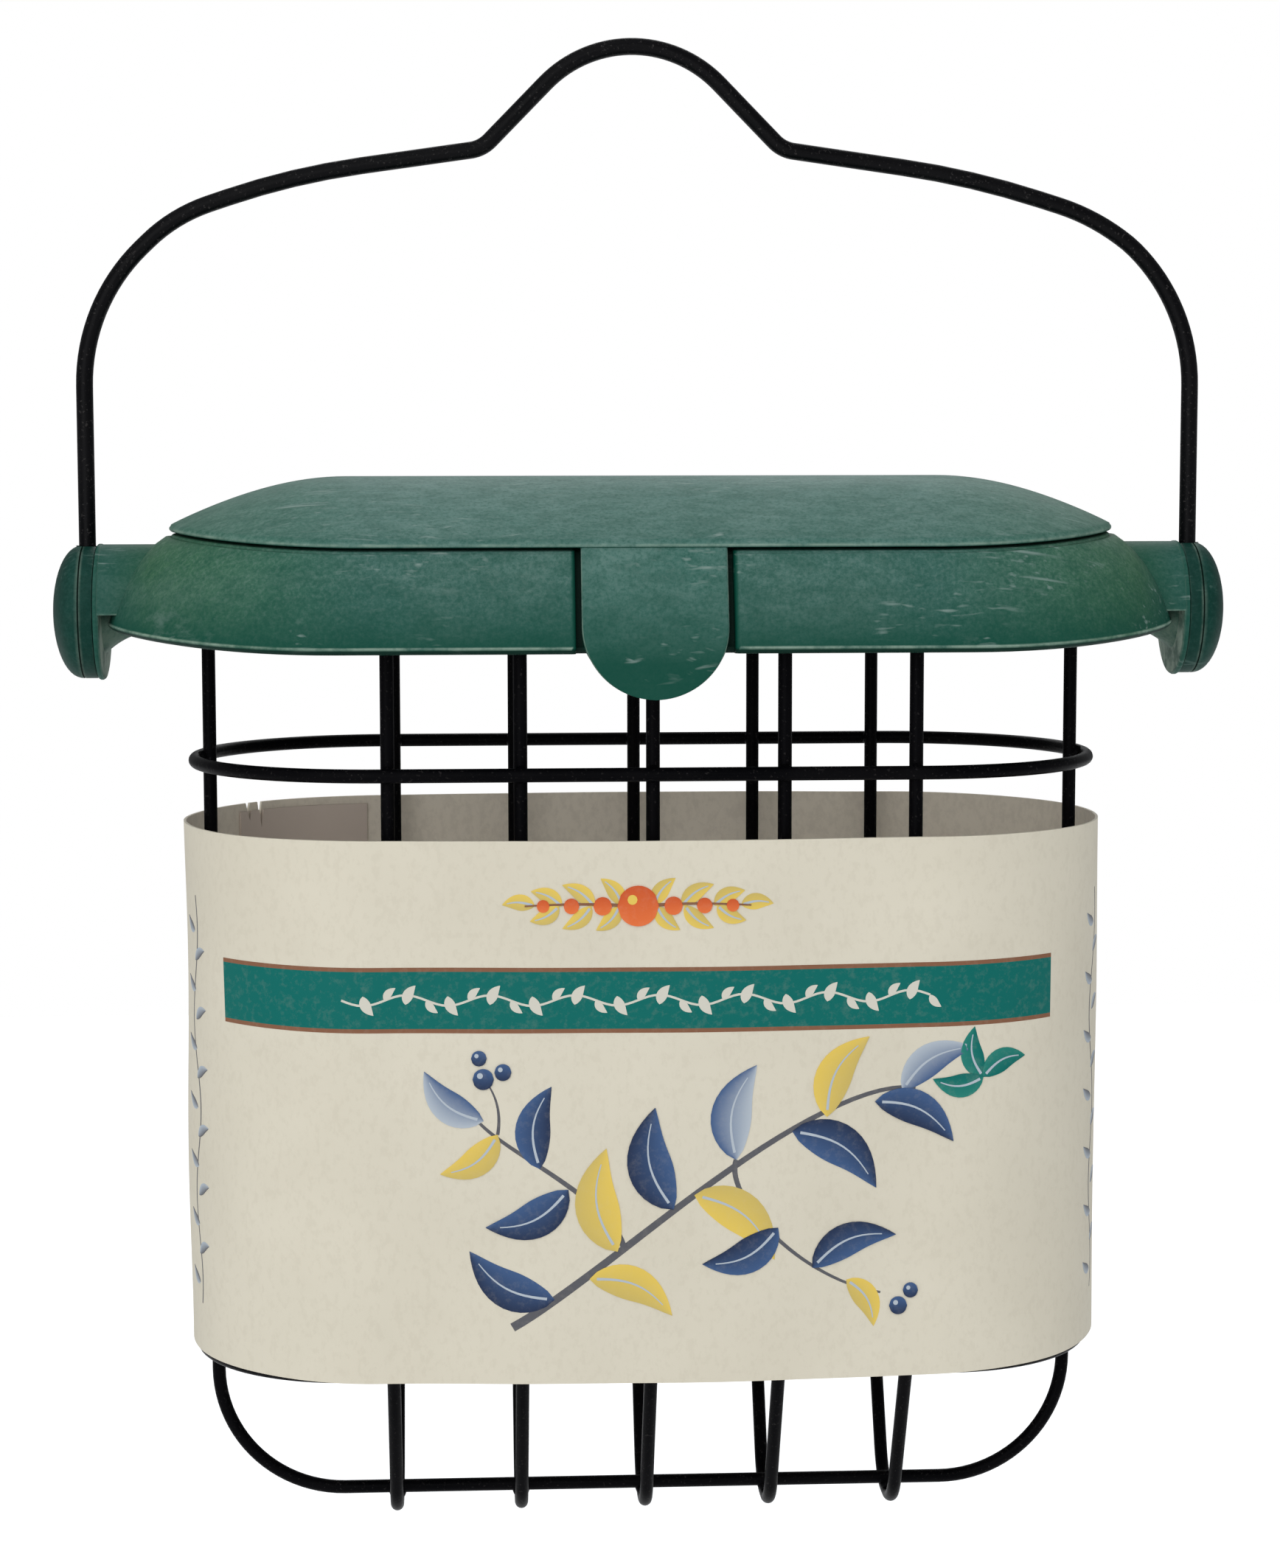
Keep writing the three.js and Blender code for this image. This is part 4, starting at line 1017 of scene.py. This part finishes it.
nick_u = np.concatenate([at + nick_steps for at, _ in NICKS])
strip_u = np.linspace(0, LOOP, 361)[:-1]
apart = np.abs(strip_u[:, None] - nick_u).min(1)
strip_u = np.sort(np.concatenate([strip_u[apart > 0.3], nick_u]))
rise = np.linspace(0, 1, 49)
section_rise = np.concatenate([rise, [1.0], rise[::-1], [0.0]])
section_lift = np.concatenate([0 * rise, [0.05], 0 * rise, [-0.05]])
section_out = np.concatenate([0 * rise + CARD_THICK, [CARD_THICK / 2], 0 * rise, [CARD_THICK / 2]])
section_in = np.concatenate([0 * rise, [0.3], 0 * rise + 1, [0.3]])
section_v = mix(CARD_FOOT, card_top(strip_u)[None, :], section_rise[:, None]) + section_lift[:, None]
sleeve_grid = on_card(strip_u[None, :], section_v, section_out[:, None])
sleeve = [shell(sleeve_grid, wrap_rows=True, inside=section_in[:, None])]

in_flap = (strip_u > FLAP_FROM + 0.5) & (strip_u < FLAP_TO - 0.5)
flap_u = np.concatenate([[FLAP_FROM, FLAP_FROM + 0.2], strip_u[in_flap], [FLAP_TO]])
flap_rise = np.linspace(0.004, 0.985, 25)
flap_rise = np.concatenate([flap_rise, flap_rise[::-1]])
flap_out = np.repeat([-0.45, -0.05], 25)
flap_v = mix(CARD_FOOT, card_top(flap_u)[:, None], flap_rise[None, :])
sleeve.append(shell(on_card(flap_u[:, None], flap_v, flap_out[None, :]), capped=True, inside=2.0))
piece("card_loop", sleeve, CARD, "feeder", ["card_sleeve"])

# %% [markdown]
# ## Printing
# The print is a thin layer of ink on the card. Every mark is a blot: a spine drawn on the flat strip, with a
# half width that changes along it. A band, a leaf, a stem and a berry differ only in their spine and width.
# The design is plain: a teal band with a running vine, a garland above it, and a sprig of leaves and berries.
# Marks that overlap lie on layers of their own, 0.02 mm apart.

# %% Blots of ink
TEAL, SEA, BROWN, CREAM = (0.0008, 0.13, 0.112), (0.02, 0.2, 0.16), (0.22, 0.1, 0.055), (0.6, 0.58, 0.5)
NAVY, BLUE, ORANGE, RUST = (0.018, 0.03, 0.07), (0.05, 0.1, 0.22), (0.72, 0.16, 0.045), (0.55, 0.09, 0.025)
YELLOW, OCHRE, GREY, PALE = (0.72, 0.52, 0.1), (0.55, 0.42, 0.12), (0.1, 0.1, 0.11), (0.42, 0.47, 0.52)
PRINT_SHIFT, LAYER = -2.5, 0.02
prints = []


def blot(spine, half_width, colour, second=None, layer=0, across_steps=5):
    """Ink along a spine of (u, v) points, half_width to each side. A second colour shades one side of it."""
    half_width = np.broadcast_to(half_width, len(spine))
    ahead = headings(spine)
    square = joined(-ahead[:, 1], ahead[:, 0])
    t = np.linspace(-1, 1, across_steps)
    flat_points = spine[:, None] + square[:, None] * (half_width[:, None] * t)[..., None] + [PRINT_SHIFT, 0]
    top = on_card(flat_points[..., 0], flat_points[..., 1], CARD_THICK + LAYER * (layer + 1))
    edge = flat_points[:, [-1, 0]]
    foot = on_card(edge[..., 0], edge[..., 1], CARD_THICK - 0.05)
    grid = np.concatenate([top, foot], 1)
    share = np.concatenate([(t + 1) / 2, [1, 0]])[None, :, None]
    ink = mix(np.array(colour), np.array(second or colour), share)
    prints.append(shell(grid, capped=True, ink=np.broadcast_to(ink, grid.shape)))


def leaf(u, v, angle, length, width, colour, second, curve=0.15, layer=1, vein=PALE):
    """A pointed leaf from its foot. Its half width is a sine of the way along, and its spine bends by curve:
    along s · length and square to that curve · length · sin(pi s), both turned by the angle."""
    s = np.linspace(0, 1, 15)
    turn = radians(angle)
    x, y = s * length, curve * length * np.sin(pi * s)
    spine = joined(u + x * cos(turn) - y * sin(turn), v + x * sin(turn) + y * cos(turn))
    blot(spine, width / 2 * np.sin(pi * s**0.8) ** 0.9 + 0.02, colour, second, layer)
    if vein:
        blot(spine[1:-2], 0.16 * (1 - s[1:-2]) + 0.05, vein, layer=layer + 1, across_steps=2)


def berry(u, v, size, colour, second, layer):
    """A round blot: its half width is the root of 1 - s squared."""
    s = np.linspace(-1, 1, 13)
    blot(joined(u + s * size, v), size * np.sqrt(np.maximum(1 - s**2, 0.002)), colour, second, layer)


def stem(points, width, colour, layer=0):
    """A stem through a few points, smoothed by a cubic fit to each coordinate along its length."""
    points = np.array(points, float)
    s = np.linspace(0, 1, len(points))
    fine = np.linspace(0, 1, 30)
    fits = [np.polyfit(s, points[:, i], min(3, len(points) - 1)) for i in (0, 1)]
    line = joined(*[np.polyval(fit, fine) for fit in fits])
    blot(line, width * (1 - 0.6 * fine) / 2, colour, layer=layer, across_steps=2)


# %% [markdown]
# The band runs across the front, between two thin brown lines. The vine on it is a sine wave with a pair of
# small leaves to each of its arches.

# %% The band, its lines and its vine
BAND, BAND_HALF, BAND_END, LINE_HALF, HAIRLINE = -53.7, 4.1, 62.2, 0.3, 0.16
VINE_END, VINE_STEP, VINE_WAVE = 42, 6, 0.75
band_u = np.linspace(-BAND_END, BAND_END, 121)
blot(joined(band_u, BAND), BAND_HALF, TEAL, across_steps=9)
for side in (1, -1):
    blot(joined(band_u, BAND + side * (BAND_HALF + LINE_HALF)), LINE_HALF, BROWN, across_steps=3)
vine_u = np.linspace(-VINE_END, VINE_END, 113)
vine_v = BAND + VINE_WAVE * np.sin(vine_u * pi / VINE_STEP)
blot(joined(vine_u, vine_v), HAIRLINE, CREAM, layer=1, across_steps=2)
for k, u in enumerate(np.arange(-39, 40, VINE_STEP)):
    up = 1 if k % 2 else -1
    leaf(u, BAND - 0.6 * up, 62 * up, 3.1, 1.5, CREAM, CREAM, 0.1 * up, 2, None)
    leaf(u + 3, BAND, -48 * up, 2.4, 1.1, CREAM, CREAM, -0.1 * up, 2, None)
print("band and vine:", len(prints), "blots so far")

# %% [markdown]
# The garland is drawn from the middle outwards, once for each side: leaves in pairs with one at the tip, and
# a stem over them. A row of berries that grow smaller towards the ends lies on top.

# %% Garland above the band
GARLAND = -40.2
GARLAND_LEAVES = ((2.2, 52, 5.0), (2.6, -46, 4.8), (6.2, 34, 5.4), (6.6, -38, 5.2), (10.8, 26, 4.8))
GARLAND_LEAVES += ((11.2, -28, 4.6), (14.6, 2, 4.6))
GARLAND_BERRIES = ((0, 2.9), (-5.0, 1.3), (5.0, 1.3), (-9.4, 1.1), (9.4, 1.1), (-13.4, 0.9), (13.4, 0.9))
for side in (-1, 1):
    for k, (u, angle, length) in enumerate(GARLAND_LEAVES):
        turn = angle if side > 0 else 180 - angle
        curve = 0.1 * side * np.sign(angle)
        leaf(side * u, GARLAND, turn, length, 2.3, YELLOW, OCHRE, curve, 1 + 2 * (k % 3))
    stem([(side * 1.5, GARLAND), (side * 8, GARLAND + 0.3), (side * 16, GARLAND)], 0.5, BROWN, 7)
for u, size in GARLAND_BERRIES:
    berry(u, GARLAND, size, ORANGE, RUST, 9)
berry(-0.8, GARLAND + 0.9, 0.7, YELLOW, YELLOW, 10)
print("garland:", len(prints), "blots so far")

# %% [markdown]
# The sprig is two lists: for each stem the points it follows and its width, and for each leaf its foot, its
# angle, its length, its width and the two colours that shade into each other across it.

# %% Sprig below the band
STEMS = [
    ([(-18, -101), (-6, -93), (10, -80), (26, -71), (40, -67)], 1.3),
    ([(-2, -90), (-8, -82), (-18, -75), (-24, -69)], 0.9),
    ([(14, -77), (16, -84), (24, -92), (35, -97)], 0.8),
]
SPRIG = [
    (-12, -97, 150, 14, 5.6, BLUE, NAVY), (-7, -94, -25, 13, 5.0, OCHRE, YELLOW),
    (-3, -90, 96, 15, 6.2, YELLOW, OCHRE), (-10, -81, 205, 13, 5.4, BLUE, NAVY),
    (-14, -78, 82, 12, 5.0, NAVY, BLUE), (-22, -71, 140, 11, 4.6, BLUE, PALE),
    (-20, -73, 215, 10, 4.2, YELLOW, OCHRE), (5, -84, 100, 15, 6.4, BLUE, NAVY),
    (8, -82, -40, 15, 6.0, YELLOW, OCHRE), (14, -77, 78, 14, 5.8, PALE, BLUE),
    (20, -87, 205, 12, 5.0, NAVY, BLUE), (25, -93, 20, 13, 4.8, BLUE, NAVY),
    (30, -95, -60, 8, 3.6, OCHRE, YELLOW), (22, -73, -35, 15, 6.0, BLUE, NAVY),
    (27, -71, 62, 13, 5.2, OCHRE, YELLOW), (34, -69, -28, 13, 5.0, NAVY, BLUE),
    (38, -67.5, 30, 12, 4.6, BLUE, PALE),
]
BERRIES = ((-22, -65, 1.5), (-19.2, -64, 1.2), (-22.6, -62, 1.1), (37.6, -99, 1.3), (39.4, -96.8, 1.1))
for points, width in STEMS:
    stem(points, width, GREY)
for k, (u, v, angle, length, width, colour, second) in enumerate(SPRIG):
    leaf(u, v, angle, length, width, colour, second, layer=1 + 2 * (k % 4))
stem([(-20, -73), (-20, -69), (-21.5, -65.5)], 0.5, GREY)
for u, v, size in BERRIES:
    berry(u, v, size, NAVY, BLUE, 9)
    berry(u - 0.3 * size, v + 0.35 * size, size * 0.28, PALE, PALE, 10)
for turn, layer in ((100, 1), (20, 3), (180, 5)):
    leaf(50, -66, turn, 7.5, 3.4, TEAL, SEA, layer=layer)
print("sprig:", len(prints), "blots so far")

# %% [markdown]
# A thin grey vine climbs each side edge of the front, with small leaves to the left and right in turn. The
# blots are then joined into one piece.

# %% Small grey vines at the sides
SIDE_VINE, VINE_FOOT, VINE_TOP = 74, -102, -41
climb = np.linspace(VINE_FOOT, VINE_TOP, 60)
for side in (-1, 1):
    middle = side * SIDE_VINE - PRINT_SHIFT
    blot(joined(middle + 1.2 * np.sin(climb / 4.2), climb), HAIRLINE, GREY, across_steps=2)
    for k, v in enumerate(np.arange(VINE_FOOT + 3, VINE_TOP - 1, 4.4)):
        leaf(middle, v, 25 if k % 2 else 155, 4.2, 1.5, GREY, PALE, 0.1, 1, None)
piece("card_printing", prints, INK, "feeder", sharp=60)

# %% [markdown]
# ## Light and ground
# The photograph was lit by a large soft source in front, a little to the left, with pale surroundings. The
# camera sees a white world, and so do reflections, but dimmer. The light that falls on the feeder from it is
# kept at an ordinary level, at which a colour comes out about as it is written.

# %% World and floor
DAYLIGHT, WHITE, FLOOR_GREY = (0.95, 0.97, 1), (1, 1, 1), (0.82, 0.82, 0.82)
FLOOR_HALF, FLOOR_Z = 6.0, -1.2
world = bpy.data.worlds.new("studio")
bpy.context.scene.world = world
world.use_nodes = True
tree = world.node_tree
rays = node(tree, "LightPath").outputs
seen = maths("MAXIMUM", rays["Is Camera Ray"], rays["Is Transmission Ray"])
soft, gloss, bright = (
    node(tree, "Background", {"Color": colour, "Strength": strength}).outputs[0]
    for colour, strength in ((DAYLIGHT, 0.83), (DAYLIGHT, 0.4), (WHITE, 1.0))
)
unseen = node(tree, "MixShader", {0: rays["Is Glossy Ray"], 1: soft, 2: gloss}).outputs[0]
both = node(tree, "MixShader", {0: seen, 1: unseen, 2: bright}).outputs[0]
plug(tree.nodes["World Output"].inputs["Surface"], both)

floor_mesh = bpy.data.meshes.new("floor")
floor_corners = [(x * FLOOR_HALF, y * FLOOR_HALF, FLOOR_Z) for x, y in ((-1, -1), (1, -1), (1, 1), (-1, 1))]
floor_mesh.from_pydata(floor_corners, [], [(0, 1, 2, 3)])
floor = added("floor", floor_mesh)
floor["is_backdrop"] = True
ground, shader = new_material("pale_floor")[:2]
tree = ground.node_tree
plug(shader.inputs["Base Color"], FLOOR_GREY)
plug(shader.inputs["Roughness"], 0.9)
rays = node(tree, "LightPath").outputs
seen = maths("MAXIMUM", rays["Is Camera Ray"], rays["Is Glossy Ray"])
glow = node(tree, "Emission", {"Color": WHITE, "Strength": maths("MULTIPLY", seen, 0.5)})
both = node(tree, "AddShader", {0: shader.outputs[0], 1: glow.outputs[0]}).outputs[0]
plug(tree.nodes["Material Output"].inputs["Surface"], both)
floor_mesh.materials.append(ground)

# %% [markdown]
# Three round lamps add to the white world: a broad one in front, a slightly smaller one high on the left, and
# one high behind the feeder, so that no side of it falls dark.

# %% Lamps


def lamp(name, place, aim, size, power):
    """A round soft lamp of a size in metres, turned from its place towards its aim."""
    data = bpy.data.lights.new(name, "AREA")
    data.shape, data.size, data.energy = "DISK", size, power
    made = added(name, data)
    made.location = place
    made.rotation_euler = (Vector(aim) - Vector(place)).to_track_quat("-Z", "Y").to_euler()
    print(f"{name} lamp: {power} watts")


lamp("front", (-0.4, -1.15, 0.2), (0, 0, -0.12), 1.1, 5.5)
lamp("key", (-0.3, -0.5, 0.85), (0, 0, -0.1), 0.9, 1.8)
lamp("back", (0.1, 0.8, 0.5), (0, 0, -0.1), 0.8, 2.4)
bpy.context.scene.view_settings.view_transform = "Standard"

# %% [markdown]
# ## Size
# The high corner of the finished pieces' box is set against that of the imported model, and how far it has
# moved is printed. Dressing the feeder should change its size by no more than a coat of paint would.

# %% Compare the boxes and finish
low_corner, high_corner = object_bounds()
growth = [round((b - a) / MM, 2) for a, b in zip(cad_high, high_corner)]
print("visual box grows by", growth, "mm at the high corner")
